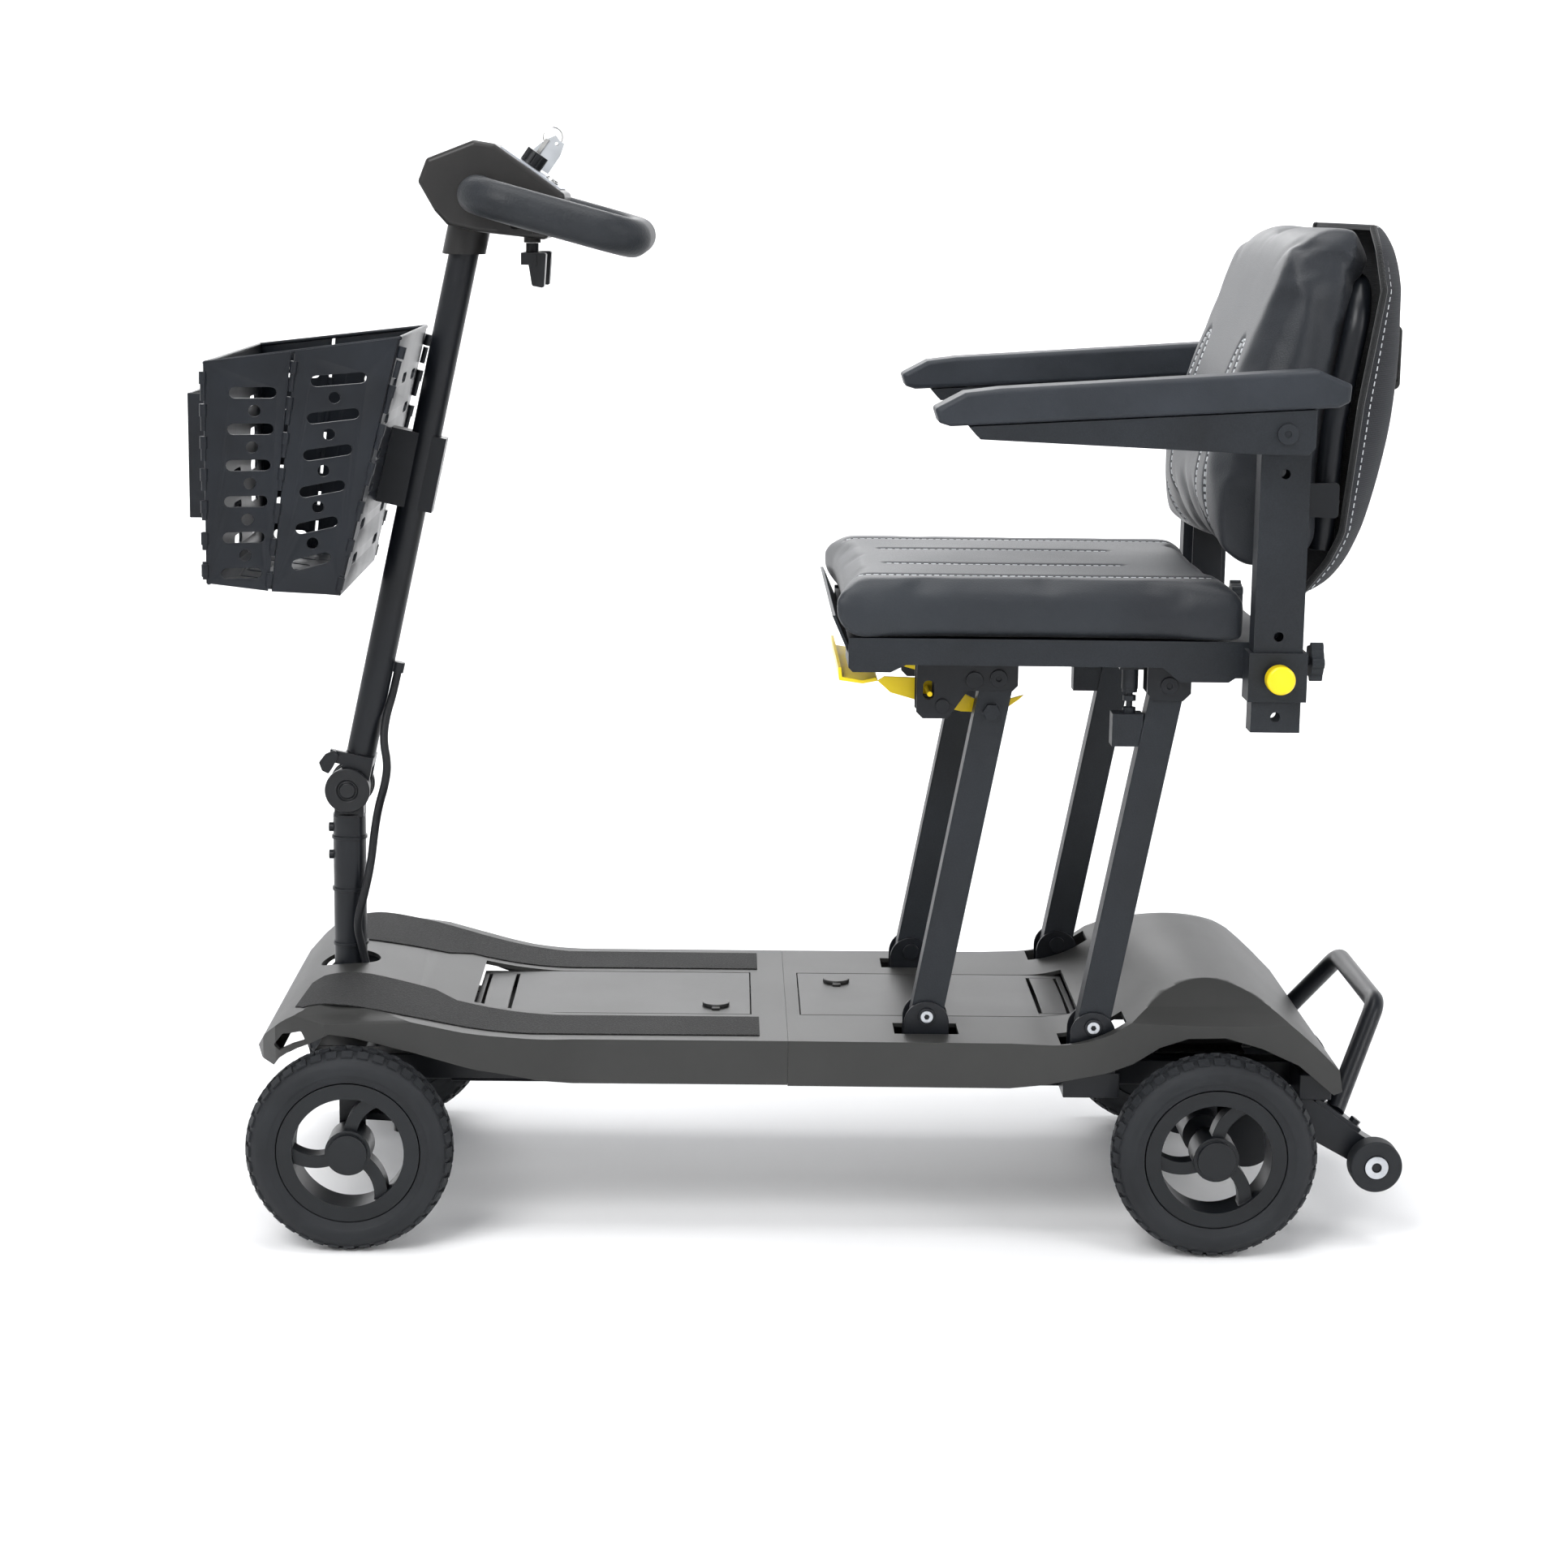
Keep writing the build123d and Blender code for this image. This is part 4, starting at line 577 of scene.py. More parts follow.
def stitchAlong(name, points, spacing=0.0065, length=0.0042, thread=0.00055):
    obj = runTree(polyline(name, points), stitchTree, {
        "Spacing": spacing, "Stitch Length": length, "Thread": thread, "Finish": finishes["sewingThread"]})
    shadeByAngle(obj.data, 60)
    return obj


# wheels
wheels = dict(radius=0.095, halfWidth=0.0215, blocks=40, rimRadius=0.065)
wheelPlaces = {"left_front": (0.407, 0.211), "right_front": (0.407, -0.211),
               "left_rear": (-0.387, 0.211), "right_rear": (-0.387, -0.211)}


def makeTyre(name, x, y):
    # half section from the bead to the crown, then mirrored: bead, sidewall ridge, shoulder, tread base
    half = [(0.0150, 0.0652), (0.0178, 0.0662), (0.0192, 0.0690), (0.0200, 0.0720), (0.0206, 0.0728),
            (0.0212, 0.0738), (0.0215, 0.0770), (0.0214, 0.0800), (0.0209, 0.0824), (0.0200, 0.0840),
            (0.0196, 0.0846), (0.0184, 0.0868), (0.0160, 0.0893), (0.0120, 0.0910), (0.0060, 0.0920),
            (0.0, 0.0923)]
    section = half + [(-a, b) for a, b in reversed(half[:-1])]
    turns = 96
    points, faces = [], []
    for k in range(turns):
        angle = 2 * math.pi * k / turns
        points += [(b * math.cos(angle), a, b * math.sin(angle)) for a, b in section]
    n = len(section)
    for k in range(turns):
        for j in range(n):
            a, b = k * n + j, k * n + (j + 1) % n
            c, d = ((k + 1) % turns) * n + (j + 1) % n, ((k + 1) % turns) * n + j
            faces.append((a, b, c, d))
    obj = meshPiece(name, points, faces, "tyreRubber", 50)
    outwards(obj.data)
    obj = runTree(obj, treadTree, {
        "Count": wheels["blocks"], "Radius": 0.0925, "Block Length": 0.0098, "Block Width": 0.0088,
        "Block Height": 0.0046, "Row Offset": 0.0122, "Finish": finishes["tyreRubber"]})
    shadeByAngle(obj.data, 35)
    obj.data.transform(Matrix.Translation((x, y, wheels["radius"])))
    return obj


for corner, (x, y) in wheelPlaces.items():
    tyre = makeTyre(corner + "_tyre_tread", x, y)
    settle(tyre, corner + "_wheel", "tyre_rubber", [corner + "_tyre"])
    softened(corner + "_rim", "wheelNylon", 1.6, 3, [
        ("zincPlate", lambda low, high: high[1] - low[1] < 9)])
print("wheels made")


# carried-over solids with rounded edges
def disc(cx, cy, radius, steps=16):
    return [(cx + radius * math.cos(2 * math.pi * k / steps), cy + radius * math.sin(2 * math.pi * k / steps))
            for k in range(steps)]


def small(size):
    return lambda low, high: max(high - low) < size


def thin(axis, size):
    return lambda low, high: (high - low)[axis] < size


softened("frame_side_rails", "satinPowderCoat", 1.2)
softened("frame_cross_members", "satinPowderCoat", 1.0)
softened("front_axle_beam", "satinPowderCoat", 1.5)
for side in ("left", "right"):
    softened(side + "_knuckle", "satinPowderCoat", 0.8, rules=[("zincPlate", small(24))])
    softened(side + "_tie_rod", "satinPowderCoat", 0.4)
    softened(side + "_trolley_wheel", "tyreRubber", 0.8)
    softened(side + "_armrest_post", "texturedPowderCoat", 1.2, 3)
    softened(side + "_height_plunger", "yellowPlastic", 0.8)
    softened(side + "_armrest_bracket", "texturedPowderCoat", 0.8)
    softened(side + "_armrest_pad", "armrestFoam", 3.2, 4)
softened("front_deck_cover", "deckAbs", 1.4, 3)
softened("rear_deck_cover", "deckAbs", 1.4, 3)
softened("grip_pads", "gritVinyl", 0.4)
for node in ("front_battery_pack", "rear_battery_pack"):
    softened(node, "lidAbs", 0.7, rules=[
        ("strapWebbing", lambda low, high: (high - low)[0] < 30 and (high - low)[1] > 100),
        ("blackKnob", small(40))])
softened("drive_unit", "satinPowderCoat", 1.5, rules=[("castAlloy", lambda low, high: low[0] < -450)])
softened("motor_controller", "lidAbs", 1.5)
softened("trolley_arms", "satinPowderCoat", 0.9, rules=[("zincPlate", small(24))])
softened("rear_handle", "satinPowderCoat", 0.5)
softened("front_legs", "texturedPowderCoat", 1.4, 3, [("blackOxide", small(60))])
softened("rear_legs", "texturedPowderCoat", 1.4, 3, [("stopRubber", small(22))])
softened("foot_brackets", "satinPowderCoat", 0.8, rules=[("zincPlate", lambda low, high: (high - low)[0] < 18)])
softened("seat_frame", "texturedPowderCoat", 1.0)
softened("seat_brackets", "satinPowderCoat", 0.6, rules=[
    ("blackOxide", lambda low, high: (high - low)[0] < 18 and (high - low)[2] < 18)])
softened("seat_release_lever", "yellowPowderCoat", 0.6)
softened("armrest_beam", "texturedPowderCoat", 1.0, rules=[
    ("blackKnob", lambda low, high: high[0] < -440),
    ("blackOxide", lambda low, high: (high - low)[1] < 6)])
softened("backrest_uprights", "satinPowderCoat", 0.8)
softened("back_frame", "satinPowderCoat", 0.4)
softened("steering_column", "satinPowderCoat", 0.6, rules=[
    ("blackKnob", thin(2, 6)), ("blackOxide", small(20))])
softened("tiller_tube", "satinPowderCoat", 0.8, rules=[
    ("basketPolypropylene", lambda low, high: low[2] > 600 and high[2] < 780),
    ("stopRubber", lambda low, high: low[2] > 480 and high[2] < 540)],
    slim=(lambda low, high: low[2] > 600 and high[2] < 780, 0.52))
softened("fold_joint_discs", "blackKnob", 1.2, 3)
softened("head_upper_shell", "headAbs", 2.4, 4)
softened("head_lower_shell", "headAbs", 1.6, 3)
softened("control_panel", "panelFilm", 0.3, rules=[("nickelPlate", small(20))])
softened("speed_dial", "blackKnob", 0.5)
softened("horn_button", "nickelPlate", 0.6)
softened("throttle_paddle", "blackKnob", 1.0, 3)


def roundPlate(name, x, z, y, radius, bore, thick, finish):
    # a ring facing sideways, such as a bearing face or a bolt head
    turn = Matrix.Translation((x, y, z)) @ Matrix.Rotation(math.pi / 2, 4, "X")
    return flatPanel(name, disc(0, 0, radius, 40), [disc(0, 0, bore, 6 if bore < 0.004 else 28)], thick, 0.0003,
                     finish, turn)


for side, name in ((1, "left"), (-1, "right")):
    low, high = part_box(name + "_trolley_wheel")
    outer = high[1] if side > 0 else low[1]
    middleX, middleZ = (low[0] + high[0]) / 2, (low[2] + high[2]) / 2
    rings = [roundPlate("face", middleX, middleZ, outer + side * 0.0004, 0.0108, 0.0046, 0.0014, "zincPlate")]
    settle(joined(name + "_trolley_bearing_face", rings), name + "_trolley", "bright_metal")
    bolts = [roundPlate("bolt", -0.124, 0.206, side * 0.1462, 0.0058, 0.0026, 0.0016, "zincPlate"),
             roundPlate("bolt", -0.276, 0.206, side * 0.1812, 0.0058, 0.0026, 0.0016, "zincPlate")]
    settle(joined(name + "_foot_bolt_faces", bolts), "chassis", "bright_metal")
print("solids softened")


# steering loop: one closed foam tube
loop = dict(front=(0.297, 0.955), rear=(0.156, 0.918), half=0.125, corner=0.036, radius=0.0175)


def roundedLoop(corners, radius, steps):
    line = []
    for k, here in enumerate(corners):
        before, after = corners[k - 1], corners[(k + 1) % len(corners)]
        a, b = (before - here).normalized(), (after - here).normalized()
        start, end = here + a * radius, here + b * radius
        for j in range(steps + 1):
            t = j / steps
            angle = t * math.pi / 2
            line.append(here + (a + b) * radius - b * radius * math.cos(angle) - a * radius * math.sin(angle))
        reach = (after - here).length - 2 * radius
        for j in range(1, 12):
            line.append(end + b * reach * j / 12)
    return line


def makeLoop():
    corners = [Vector((x, s * loop["half"], z)) for (x, z), s in (
        (loop["front"], 1), (loop["front"], -1), (loop["rear"], -1), (loop["rear"], 1))]
    obj = tube("handle_loop_foam", roundedLoop(corners, loop["corner"], 12), loop["radius"], "loopFoam", 40,
               closed=True)
    return obj


settle(makeLoop(), "tiller", "loop_foam", ["handle_loop"])


# key with its ring and tags
def makeKeyTags():
    normal = Vector((-math.sin(math.radians(34.7)), 0, math.cos(math.radians(34.7))))
    foot = Vector((0.256, -0.030, 0.9823)) + normal * 0.031
    parts = []
    ring = [foot + Vector((math.cos(a) * 0.009, 0.0, math.sin(a) * 0.009)) + Vector((-0.004, 0, 0.001))
            for a in (2 * math.pi * k / 28 for k in range(28))]
    parts.append(tube("keyRing", ring, 0.0007, "nickelPlate", 8, closed=True))
    for tilt, reach, lean in ((-0.55, 0.032, 0.006), (-0.95, 0.030, -0.005)):
        outline = [(-0.006, 0.0), (0.006, 0.0), (0.0085, reach * 0.35), (0.0075, reach), (-0.0075, reach),
                   (-0.0085, reach * 0.35)]
        hole = [(0.0018 * math.cos(a), 0.004 + 0.0018 * math.sin(a)) for a in
                (2 * math.pi * k / 16 for k in range(16))]
        turn = (Matrix.Translation(foot + Vector((-0.010, lean, -0.002)))
                @ Matrix.Rotation(tilt, 4, "Y") @ Matrix.Rotation(math.pi / 2, 4, "X")
                @ Matrix.Rotation(math.pi, 4, "Z"))
        parts.append(flatPanel("tag", outline, [hole], 0.0016, 0.0003, "greyAcetal", turn))
    return joined("key_ring_tags", parts)


softened("ignition_key", "nickelPlate", 0.4)
settle(makeKeyTags(), "key", "bright_metal")
print("controls made")


# basket: folding panels joined by barrel hinges
basket = dict(topFront=(0.534, 0.806), topRear=(0.362, 0.828), lowFront=(0.535, 0.608), lowRear=(0.418, 0.594),
              frontHalf=0.171, rearHalf=0.128, foldTop=(0.456, 0.815), foldLow=(0.480, 0.599), wall=0.003)


def slot(cx, cy, length, height, tilt=0.0, steps=7):
    points = []
    r = height / 2
    for end in (1, -1):
        for k in range(steps):
            a = -math.pi / 2 + math.pi * k / (steps - 1)
            points.append((end * (length / 2 - r + r * math.cos(a)), end * r * math.sin(a)))
    c, s = math.cos(tilt), math.sin(tilt)
    return [(cx + u * c - v * s, cy + u * s + v * c) for u, v in points]


def sideWidth(x):
    t = (x - basket["topRear"][0]) / (basket["topFront"][0] - basket["topRear"][0])
    return basket["rearHalf"] + t * (basket["frontHalf"] - basket["rearHalf"])


def makeBasket():
    parts = []
    spanX = basket["topFront"][0] - basket["topRear"][0]
    spanY = basket["frontHalf"] - basket["rearHalf"]
    stretch = math.hypot(spanX, spanY) / spanX
    frontHoles, rearHoles = [], []
    rows = 6
    for k in range(rows):
        t = k / (rows - 1)
        z = 0.7787 - 0.1617 * t
        frontHoles.append(slot(0.4916 + 0.0125 * t, z, 0.041 - 0.006 * t, 0.0098))
        rearHoles.append(slot(0.4172 + 0.026 * t, 0.7903 - 0.1635 * t, 0.049 - 0.014 * t, 0.0098,
                              -0.082 - 0.16 * t))
        if k < rows - 1:
            half = 0.5 / (rows - 1)
            frontHoles.append(disc(0.4906 + 0.0125 * t, z - 0.1617 * half, 0.0052))
            rearHoles.append(disc(0.4185 + 0.026 * (t + half), 0.7903 - 0.1635 * (t + half), 0.0052))
    panels = [([(0.5335, 0.8065), (0.4582, 0.8152), (0.4812, 0.6005), (0.5345, 0.6085)], frontHoles),
              ([(0.4548, 0.8156), (0.3645, 0.8275), (0.4195, 0.5955), (0.4782, 0.6)], rearHoles)]
    for side in (1, -1):
        along = Vector((spanX, side * spanY, 0)).normalized()
        normal = along.cross(Vector((0, 0, 1)))
        base = Vector((basket["topRear"][0], side * (basket["rearHalf"] - basket["wall"] / 2), 0))
        turn = Matrix.Translation(base) @ Matrix((along, Vector((0, 0, 1)), normal)).transposed().to_4x4()
        for outline, holes in panels:
            def flat(loop):
                return [((x - basket["topRear"][0]) * stretch, z) for x, z in loop]
            parts.append(flatPanel("sidePanel", flat(outline), [flat(h) for h in holes], basket["wall"], 0.0006,
                                   "basketPolypropylene", turn))
        for top, low, count in ((basket["topFront"], basket["lowFront"], 7), (basket["foldTop"], basket["foldLow"], 7),
                                (basket["topRear"], basket["lowRear"], 7)):
            ends = []
            for (x, z), inset in ((top, 0.014), (low, 0.012)):
                z += -inset if (x, z) == top else inset
                ends.append(Vector((x, side * (sideWidth(x) - 0.0012), z)))
            for shift, length, radius in ((0.0, 0.011, 0.0036), (0.5, 0.016, 0.0026)):
                step = (ends[1] - ends[0]) / count
                line = [ends[0] + step * shift, ends[1] - step * (0.5 - shift if shift else 0.0)]
                parts.append(runTree(polyline("hingeLine", line), knuckleTree, {
                    "Count": count, "Barrel Length": length, "Barrel Radius": radius,
                    "Finish": finishes["basketPolypropylene"]}))
    # front wall, rear wall and floor
    frontOutline = [(-0.1685, 0.607), (0.1685, 0.607), (0.1685, 0.805), (-0.1685, 0.805)]
    holes = [slot(y, 0.630 + 0.031 * k, 0.044, 0.0098) for y in (-0.11, 0.0, 0.11) for k in range(6)]
    turn = Matrix.Translation((basket["topFront"][0] - 0.0015, 0, 0)) @ Matrix(
        (Vector((0, 1, 0)), Vector((0, 0, 1)), Vector((1, 0, 0)))).transposed().to_4x4()
    parts.append(flatPanel("frontWall", frontOutline, holes, basket["wall"], 0.0006, "basketPolypropylene", turn))
    low, high = Vector((basket["lowRear"][0], 0, basket["lowRear"][1])), Vector((basket["topRear"][0], 0,
                                                                                 basket["topRear"][1]))
    up = (high - low).normalized()
    tall = (high - low).length
    wide = sideWidth(basket["lowRear"][0])
    rearOutline = [(-wide + 0.002, 0.001), (wide - 0.002, 0.001), (basket["rearHalf"] - 0.002, tall - 0.001),
                   (-basket["rearHalf"] + 0.002, tall - 0.001)]
    holes = [slot(y, 0.030 + 0.033 * k, 0.034, 0.0098) for y in (-0.085, 0.085) for k in range(6)]
    holes += [slot(0.0, 0.196, 0.034, 0.0098)]
    turn = Matrix.Translation(low + Vector((0.0018, 0, 0.0))) @ Matrix(
        (Vector((0, 1, 0)), up, Vector((0, 1, 0)).cross(up))).transposed().to_4x4()
    parts.append(flatPanel("rearWall", rearOutline, holes, basket["wall"], 0.0006, "basketPolypropylene", turn))
    floorRun = Vector((basket["lowFront"][0], 0, basket["lowFront"][1])) - low
    alongFloor = floorRun.normalized()
    narrow = wide - 0.004
    floorOutline = [(0.001, -narrow), (floorRun.length - 0.001, -basket["frontHalf"] + 0.003),
                    (floorRun.length - 0.001, basket["frontHalf"] - 0.003), (0.001, narrow)]
    holes = [slot(0.028 + 0.030 * k, y, 0.018, 0.007) for k in range(3) for y in (-0.11, -0.066, -0.022, 0.022, 0.066,
                                                                                0.11)]
    turn = Matrix.Translation(low + Vector((0, 0, 0.0018))) @ Matrix(
        (alongFloor, Vector((0, 1, 0)), alongFloor.cross(Vector((0, 1, 0))))).transposed().to_4x4()
    parts.append(flatPanel("floorPanel", floorOutline, holes, basket["wall"], 0.0006, "basketPolypropylene", turn))
    # rolled rims along the upper edges
    rim = []
    for side in (1, -1):
        corners = [Vector((basket["topFront"][0] - 0.001, side * (basket["frontHalf"] - 0.003),
                           basket["topFront"][1] - 0.001)),
                   Vector((basket["topRear"][0] + 0.001, side * (basket["rearHalf"] - 0.003),
                           basket["topRear"][1] - 0.001))]
        rim.append(tube("rim", [corners[0].lerp(corners[1], k / 8) for k in range(9)], 0.0019,
                        "basketPolypropylene", 10))
    for x, z, half in ((basket["topFront"][0] - 0.0015, basket["topFront"][1] - 0.001, basket["frontHalf"] - 0.003),
                       (basket["topRear"][0] + 0.0015, basket["topRear"][1] - 0.001, basket["rearHalf"] - 0.003)):
        rim.append(tube("rim", [Vector((x, half * (1 - k / 4), z)) for k in range(9)], 0.0019,
                        "basketPolypropylene", 10))
    return joined("basket_panels", parts + rim)


settle(makeBasket(), "shopping_basket", "basket_plastic", ["basket"])


def makePocket():
    # a shallow tray on the basket's front, open at the top
    mesh = cadNodes["basket"].data.copy()
    bm = bmesh.new()
    bm.from_mesh(mesh)
    bmesh.ops.remove_doubles(bm, verts=bm.verts, dist=1e-5)
    bmesh.ops.dissolve_limit(bm, angle_limit=math.radians(0.4), verts=bm.verts, edges=bm.edges)
    for group in list(islands(bm)):
        if min(v.co.x for f in group for v in f.verts) < 0.5:
            bmesh.ops.delete(bm, geom=group, context="FACES")
    bm.to_mesh(mesh)
    bm.free()
    mesh.materials.clear()
    mesh.materials.append(finishes["basketPolypropylene"])
    shadeByAngle(mesh, 35)
    obj = pieceFrom("basket_front_pocket", mesh)
    bevel = obj.modifiers.new("roundedEdges", "BEVEL")
    bevel.width, bevel.segments, bevel.limit_method, bevel.angle_limit = 0.0008, 2, "ANGLE", math.radians(38)
    return baked(obj)


settle(makePocket(), "shopping_basket", "basket_plastic")
print("basket made")


# wiring from the deck to the tiller
wiring = dict(diameter=0.008, route=[
    (0.411, 0.015, 0.169), (0.410, 0.015, 0.208), (0.416, 0.018, 0.236), (0.421, 0.024, 0.262),
    (0.413, 0.022, 0.290), (0.407, 0.014, 0.320), (0.404, 0.010, 0.350), (0.399, 0.016, 0.376),
    (0.392, 0.024, 0.398), (0.389, 0.024, 0.418), (0.394, 0.017, 0.440), (0.392, 0.009, 0.462),
    (0.3858, 0.0, 0.483), (0.3814, 0.0, 0.5036)])


def makeWiring():
    curve = bpy.data.curves.new("wiringRoute", "CURVE")
    curve.dimensions = "3D"
    spline = curve.splines.new("NURBS")
    spline.points.add(len(wiring["route"]) - 1)
    for point, place in zip(spline.points, wiring["route"]):
        point.co = (*place, 1)
    spline.order_u, spline.use_endpoint_u = 3, True
    spline.resolution_u = 10
    route = baked(pieceFrom("wiringRoute", curve))
    line = [v.co.copy() for v in route.data.vertices]
    bpy.data.objects.remove(route)
    length = sum((b - a).length for a, b in zip(line, line[1:]))
    obj = tube("wiring_loom", line, wiring["diameter"] / 2, "cableSheath", 14)
    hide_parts("wiring_harness")
    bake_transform(obj)
    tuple(wiring["route"][0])
    [tuple(p) for p in line]
    print("wiring length", round(length, 4))


makeWiring()


# upholstery
def puffed(node, name, finish, shrink, voxel, cap, pressure, keepFlat=None):
    # a stuffed copy of a CAD cushion: shrunk, swelled as cloth under pressure, and smoothed
    mesh = cadNodes[node].data.copy()
    bm = bmesh.new()
    bm.from_mesh(mesh)
    bmesh.ops.remove_doubles(bm, verts=bm.verts, dist=1e-5)
    bm.to_mesh(mesh)
    bm.free()
    low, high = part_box(node)
    middle = (Vector(low) + Vector(high)) / 2
    size = Vector(high) - Vector(low)
    scale = [(size[k] - 2 * shrink[k]) / size[k] for k in range(3)]
    mesh.transform(Matrix.Translation(middle) @ Matrix.Diagonal((*scale, 1)) @ Matrix.Translation(-middle))
    mesh.materials.clear()
    mesh.materials.append(finishes[finish])
    obj = pieceFrom(name, mesh)
    remesh = obj.modifiers.new("evenMesh", "REMESH")
    remesh.mode, remesh.voxel_size = "VOXEL", voxel
    obj = baked(obj)
    start = np.array([v.co for v in obj.data.vertices])
    cloth = obj.modifiers.new("stuffing", "CLOTH")
    cloth.settings.use_pressure = True
    cloth.settings.uniform_pressure_force = pressure
    cloth.settings.effector_weights.gravity = 0
    cloth.settings.quality = 6
    cloth.point_cache.frame_start, cloth.point_cache.frame_end = 1, 20
    for step in range(1, 21):
        scene.frame_set(step)
    obj = baked(obj)
    scene.frame_set(1)
    swollen = np.array([v.co for v in obj.data.vertices])
    move = swollen - start
    far = np.maximum(np.linalg.norm(move, axis=1, keepdims=True), 1e-9)
    place = start + move * np.minimum(1.0, cap / far)
    if keepFlat:
        # the underside rests on the seat pan and stays where the foam sits
        place = keepFlat(start, place)
    lowest, highest = np.array(low) - 0.004, np.array(high) + 0.007
    place = np.clip(place, lowest, highest)
    for vertex, spot in zip(obj.data.vertices, place):
        vertex.co = spot
    smooth = obj.modifiers.new("evened", "SMOOTH")
    smooth.factor, smooth.iterations = 0.5, 8
    fine = obj.modifiers.new("fine", "SUBSURF")
    fine.levels = fine.render_levels = 1
    obj = baked(obj)
    # remeshing and smoothing draw the cover in, so it is let out again to the cushion's own size
    spots = np.array([v.co for v in obj.data.vertices])
    lowest, highest = spots.min(0), spots.max(0)
    full = (spots - lowest) / (highest - lowest) * (np.array(high) - np.array(low)) + np.array(low)
    for vertex, spot in zip(obj.data.vertices, full):
        vertex.co = spot
    shadeByAngle(obj.data, 60)
    return obj


def channel(obj, line, width, depth, along):
    # presses a sewn channel of that width and depth into the surface beside the line
    tree = KDTree(len(line))
    for k, p in enumerate(line):
        tree.insert(p, k)
    tree.balance()
    for vertex in obj.data.vertices:
        spot, _, gap = tree.find(vertex.co)
        if gap < width:
            vertex.co += Vector(along) * depth * (0.5 + 0.5 * math.cos(math.pi * gap / width))
    obj.data.update()
    bpy.context.view_layer.update()


def onSurface(obj, points, direction, lift):
    # the points carried along the direction until they meet the object, then lifted back off it
    finder = BVHTree.FromObject(obj, bpy.context.evaluated_depsgraph_get())
    found = []
    for p in points:
        hit, normal, _, _ = finder.ray_cast(Vector(p) - Vector(direction) * 0.2, Vector(direction), 0.4)
        if hit is not None:
            found.append(hit + normal * lift)
    return found


seat = dict(seams=[[(-0.055, 0.150), (-0.20, 0.152), (-0.372, 0.150)],
                   [(-0.055, -0.150), (-0.20, -0.152), (-0.372, -0.150)],
                   [(-0.085, -0.060), (-0.18, -0.062), (-0.300, -0.060)],
                   [(-0.085, 0.060), (-0.18, 0.062), (-0.300, 0.060)]],
            pitch=0.0068)


def makeSeatCushion():
    obj = puffed("seat_cushion", "seat_cushion_cover", "slateVinyl", (0.006, 0.007, 0.003), 0.0055, 0.016, 4.0,
                 lambda was, now: np.column_stack([now[:, 0], now[:, 1],
                                                   np.where(was[:, 2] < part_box("seat_cushion")[0][2] + 0.012,
                                                            was[:, 2], now[:, 2])]))
    bpy.context.view_layer.update()
    parts = []
    for plan in seat["seams"]:
        flat = smoothLine([(x, y, 0.62) for x, y in plan], 60)
        line = onSurface(obj, flat, (0, 0, -1), 0.0)
        channel(obj, line, 0.009, 0.0030, (0, 0, -1))
        for side in (-1, 1):
            shifted = onSurface(obj, [p + Vector((0, side * 0.0032, 0)) for p in flat], (0, 0, -1), 0.0006)
            parts.append(stitchAlong("seatStitches", shifted, seat["pitch"], 0.0044, 0.0006))
    settle(obj, "seat", slotOfNode["seat_cushion"], ["seat_cushion"])
    settle(joined("seat_stitching", parts), "seat")


makeSeatCushion()


def makeBackCushion():
    obj = puffed("back_cushion", "back_cushion_cover", "slateVinyl", (0.004, 0.005, 0.004), 0.0055, 0.014, 4.0)
    parts = []
    tongue = [(-0.4, 0.080, 0.645), (-0.4, 0.082, 0.70), (-0.4, 0.085, 0.77), (-0.41, 0.088, 0.812),
              (-0.42, 0.096, 0.832), (-0.42, 0.108, 0.832), (-0.41, 0.117, 0.812), (-0.4, 0.122, 0.77),
              (-0.4, 0.127, 0.70), (-0.4, 0.131, 0.645)]
    seams = [tongue, [(x, -y, z) for x, y, z in tongue]]
    for plan in seams:
        flat = smoothLine(plan, 90)
        line = onSurface(obj, flat, (-1, 0, 0), 0.0)
        channel(obj, line, 0.008, 0.0028, (-1, 0, 0))
        for side in (-1, 1):
            shifted = onSurface(obj, [p + Vector((0, side * 0.0032, 0)) for p in flat], (-1, 0, 0), 0.0006)
            parts.append(stitchAlong("backStitches", shifted, 0.0068, 0.0044, 0.0006))
    settle(obj, "backrest", slotOfNode["back_cushion"], ["back_cushion"])
    settle(joined("back_stitching", parts), "backrest")


makeBackCushion()
print("cushions made")


# rear flap: a hung sheet of spacer fabric, bound at its edges
flap = dict(line=[(-0.5084, 0.9365), (-0.531, 0.934), (-0.546, 0.905), (-0.550, 0.855), (-0.550, 0.808),
                  (-0.543, 0.744), (-0.523, 0.666), (-0.498, 0.620), (-0.462, 0.612)], thick=0.004)


def halfWidthAt(z):
    # the flap narrows towards its top corners
    corners = [(0.600, 0.1775), (0.883, 0.1775), (0.918, 0.163), (0.943, 0.136)]
    for (za, a), (zb, b) in zip(corners, corners[1:]):
        if z <= zb:
            t = max(0.0, (z - za) / (zb - za))
            return a + (b - a) * t
    return corners[-1][1]


def flapX(x, z, share):
    # bowed in plan: the middle stands off the backrest and the sides come round close behind it
    edge = np.interp(z, [0.612, 0.640, 0.665, 0.722, 0.781, 0.882, 0.936],
                     [-0.452, -0.474, -0.486, -0.492, -0.498, -0.514, -0.5085])
    return x + (max(x, edge) - x) * abs(share) ** 3


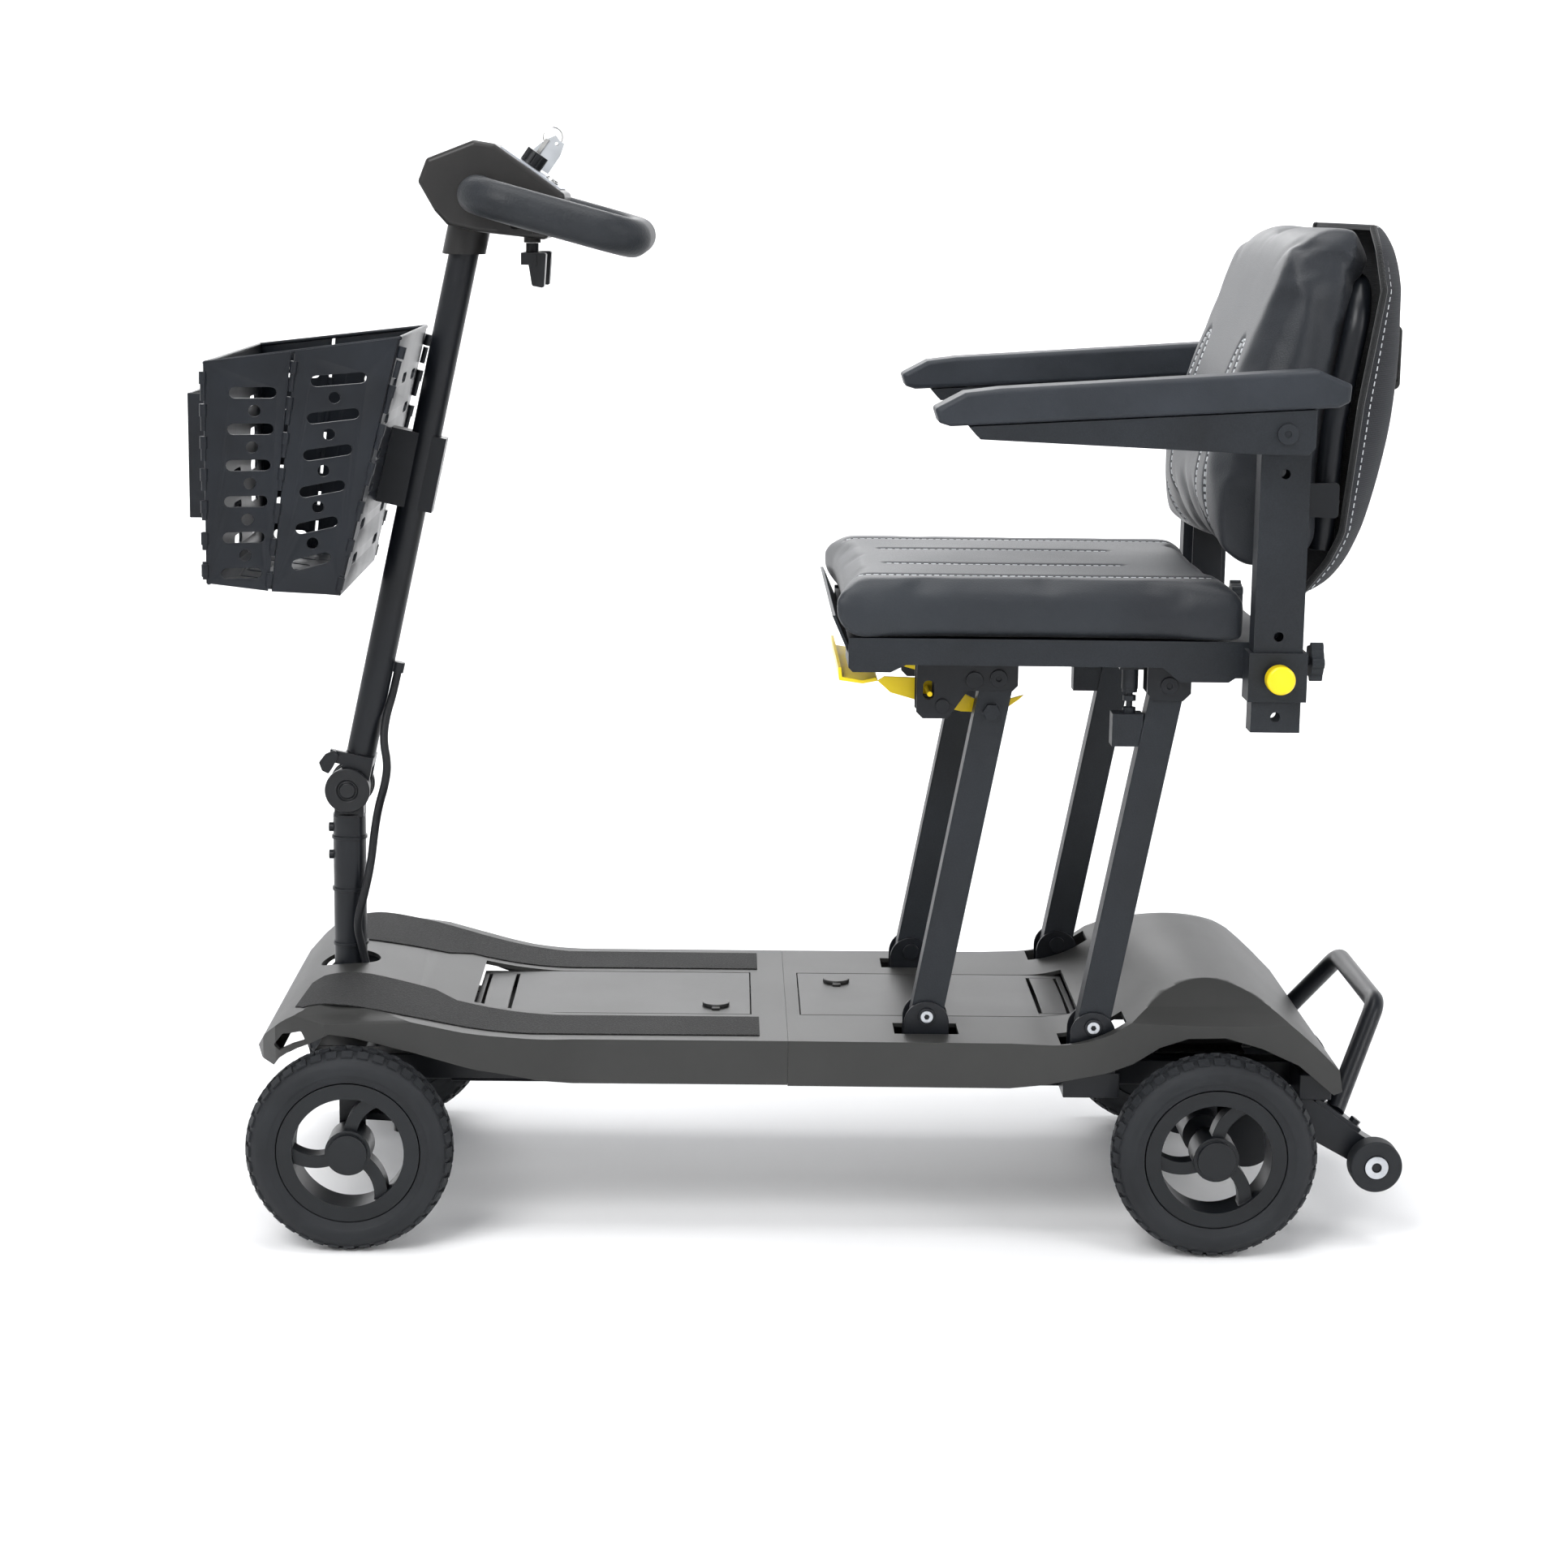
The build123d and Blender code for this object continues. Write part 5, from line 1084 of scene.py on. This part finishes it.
def makeFlap():
    line = smoothLine([(x, 0, z) for x, z in flap["line"]], 72)
    across = 60
    points, faces = [], []
    for k, p in enumerate(line):
        half = halfWidthAt(p.z) - 0.002
        for j in range(across + 1):
            s = 2 * j / across - 1
            slack = 0.0016 * math.sin(7.0 * s + k * 0.09) * math.sin(math.pi * k / (len(line) - 1))
            points.append((flapX(p.x, p.z, s) - slack, s * half, p.z))
    for k in range(len(line) - 1):
        for j in range(across):
            a = k * (across + 1) + j
            faces.append((a, a + 1, a + across + 2, a + across + 1))
    obj = meshPiece("back_flap_fabric", points, faces, "slingFabric", 60)
    outwards(obj.data)
    widest = max(sum((Vector(points[k * (across + 1) + j + 1]) - Vector(points[k * (across + 1) + j])).length
                     for j in range(across)) for k in range(len(line)))
    solid = obj.modifiers.new("thickness", "SOLIDIFY")
    solid.thickness, solid.offset = flap["thick"], 0
    obj = baked(obj)
    shadeByAngle(obj.data, 45)
    length = sum((b - a).length for a, b in zip(line, line[1:]))
    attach(obj, "backrest")
    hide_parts("back_flap")
    # binding tape along both long edges
    parts = []
    for side in (1, -1):
        edge = [Vector((flapX(p.x, p.z, 1), side * (halfWidthAt(p.z) - 0.003), p.z)) for p in line]
        parts.append(tube("binding", edge, 0.0032, "strapWebbing", 10))
        stitch = [Vector((flapX(p.x, p.z, 0.95) - 0.0024, side * (halfWidthAt(p.z) - 0.0095), p.z)) for p in line[4:-4]]
        parts.append(stitchAlong("flapStitches", stitch, 0.0068, 0.0042, 0.0005))
    binding = settle(joined("back_flap_binding", parts), "backrest")


makeFlap()


def makeCardHolder():
    # the moulded holder on the flap, taken from the CAD solid
    mesh = cadNodes["back_flap"].data.copy()
    bm = bmesh.new()
    bm.from_mesh(mesh)
    bmesh.ops.remove_doubles(bm, verts=bm.verts, dist=1e-5)
    bmesh.ops.dissolve_limit(bm, angle_limit=math.radians(0.4), verts=bm.verts, edges=bm.edges)
    for group in list(islands(bm)):
        if max(v.co.z for f in group for v in f.verts) > 0.86:
            bmesh.ops.delete(bm, geom=group, context="FACES")
    bm.to_mesh(mesh)
    bm.free()
    mesh.materials.clear()
    mesh.materials.append(finishes["lidAbs"])
    shadeByAngle(mesh, 35)
    obj = pieceFrom("back_holder", mesh)
    bevel = obj.modifiers.new("roundedEdges", "BEVEL")
    bevel.width, bevel.segments, bevel.limit_method, bevel.angle_limit = 0.0008, 2, "ANGLE", math.radians(38)
    settle(baked(obj), "backrest")


makeCardHolder()
print("soft goods made")


# floor and light
stage = dict(floor=6.5, wall=5.0, sweep=2.0)


def makeStage():
    # pale paper underfoot that curves up into a wall all round
    line = [(stage["floor"] - stage["sweep"] + stage["sweep"] * math.sin(a),
             stage["sweep"] * (1 - math.cos(a))) for a in (math.pi / 2 * k / 16 for k in range(17))]
    line.append((stage["floor"], stage["wall"]))
    turns = 96
    points = [(0, 0, 0)] + [(r * math.cos(2 * math.pi * k / turns), r * math.sin(2 * math.pi * k / turns), z)
                            for r, z in line for k in range(turns)]
    faces = [(0, 1 + k, 1 + (k + 1) % turns) for k in range(turns)]
    faces += [(1 + j * turns + k, 1 + (j + 1) * turns + k, 1 + (j + 1) * turns + (k + 1) % turns,
               1 + j * turns + (k + 1) % turns) for j in range(len(line) - 1) for k in range(turns)]
    obj = meshPiece("studioFloor", points, faces, "lidAbs", 60)
    obj.data.materials.clear()
    obj.data.materials.append(makeFinish("paintedBackdrop", "#f4f4f4", "#fafafa", (0.70, 0.80), patches=700))


def addLight(name, place, aim, size, power, colour=(1, 1, 1)):
    data = bpy.data.lights.new(name, "AREA")
    data.shape, data.size, data.size_y, data.energy, data.color = "RECTANGLE", size[0], size[1], power, colour
    obj = bpy.data.objects.new(name, data)
    obj.matrix_world = Matrix.LocRotScale(
        Vector(place), (Vector(aim) - Vector(place)).to_track_quat("-Z", "Y"), None)
    scene.collection.objects.link(obj)
    return obj


makeStage()
addLight("keyLight", (1.8, 3.2, 3.6), (0.0, 0.0, 0.4), (2.2, 2.2), 150)
addLight("fillLight", (-3.4, 2.4, 2.2), (0.0, 0.0, 0.5), (2.0, 2.0), 55)
addLight("topLight", (0.0, 0.0, 4.0), (0.0, 0.0, 0.0), (2.6, 2.6), 95)
addLight("rimLight", (0.6, -3.4, 2.6), (0.0, 0.0, 0.6), (2.4, 1.4), 50)
addLight("wallLight", (0.0, -3.0, 3.2), (0.0, -6.5, 1.6), (5.0, 1.2), 150)
world = bpy.data.worlds.new("studioAir")
scene.world = world
world.use_nodes = True
worldShader = world.node_tree.nodes["Background"]
worldShader.inputs["Color"].default_value = (0.9, 0.93, 1.0, 1.0)
worldShader.inputs["Strength"].default_value = 0.42
scene.view_settings.view_transform = "Standard"
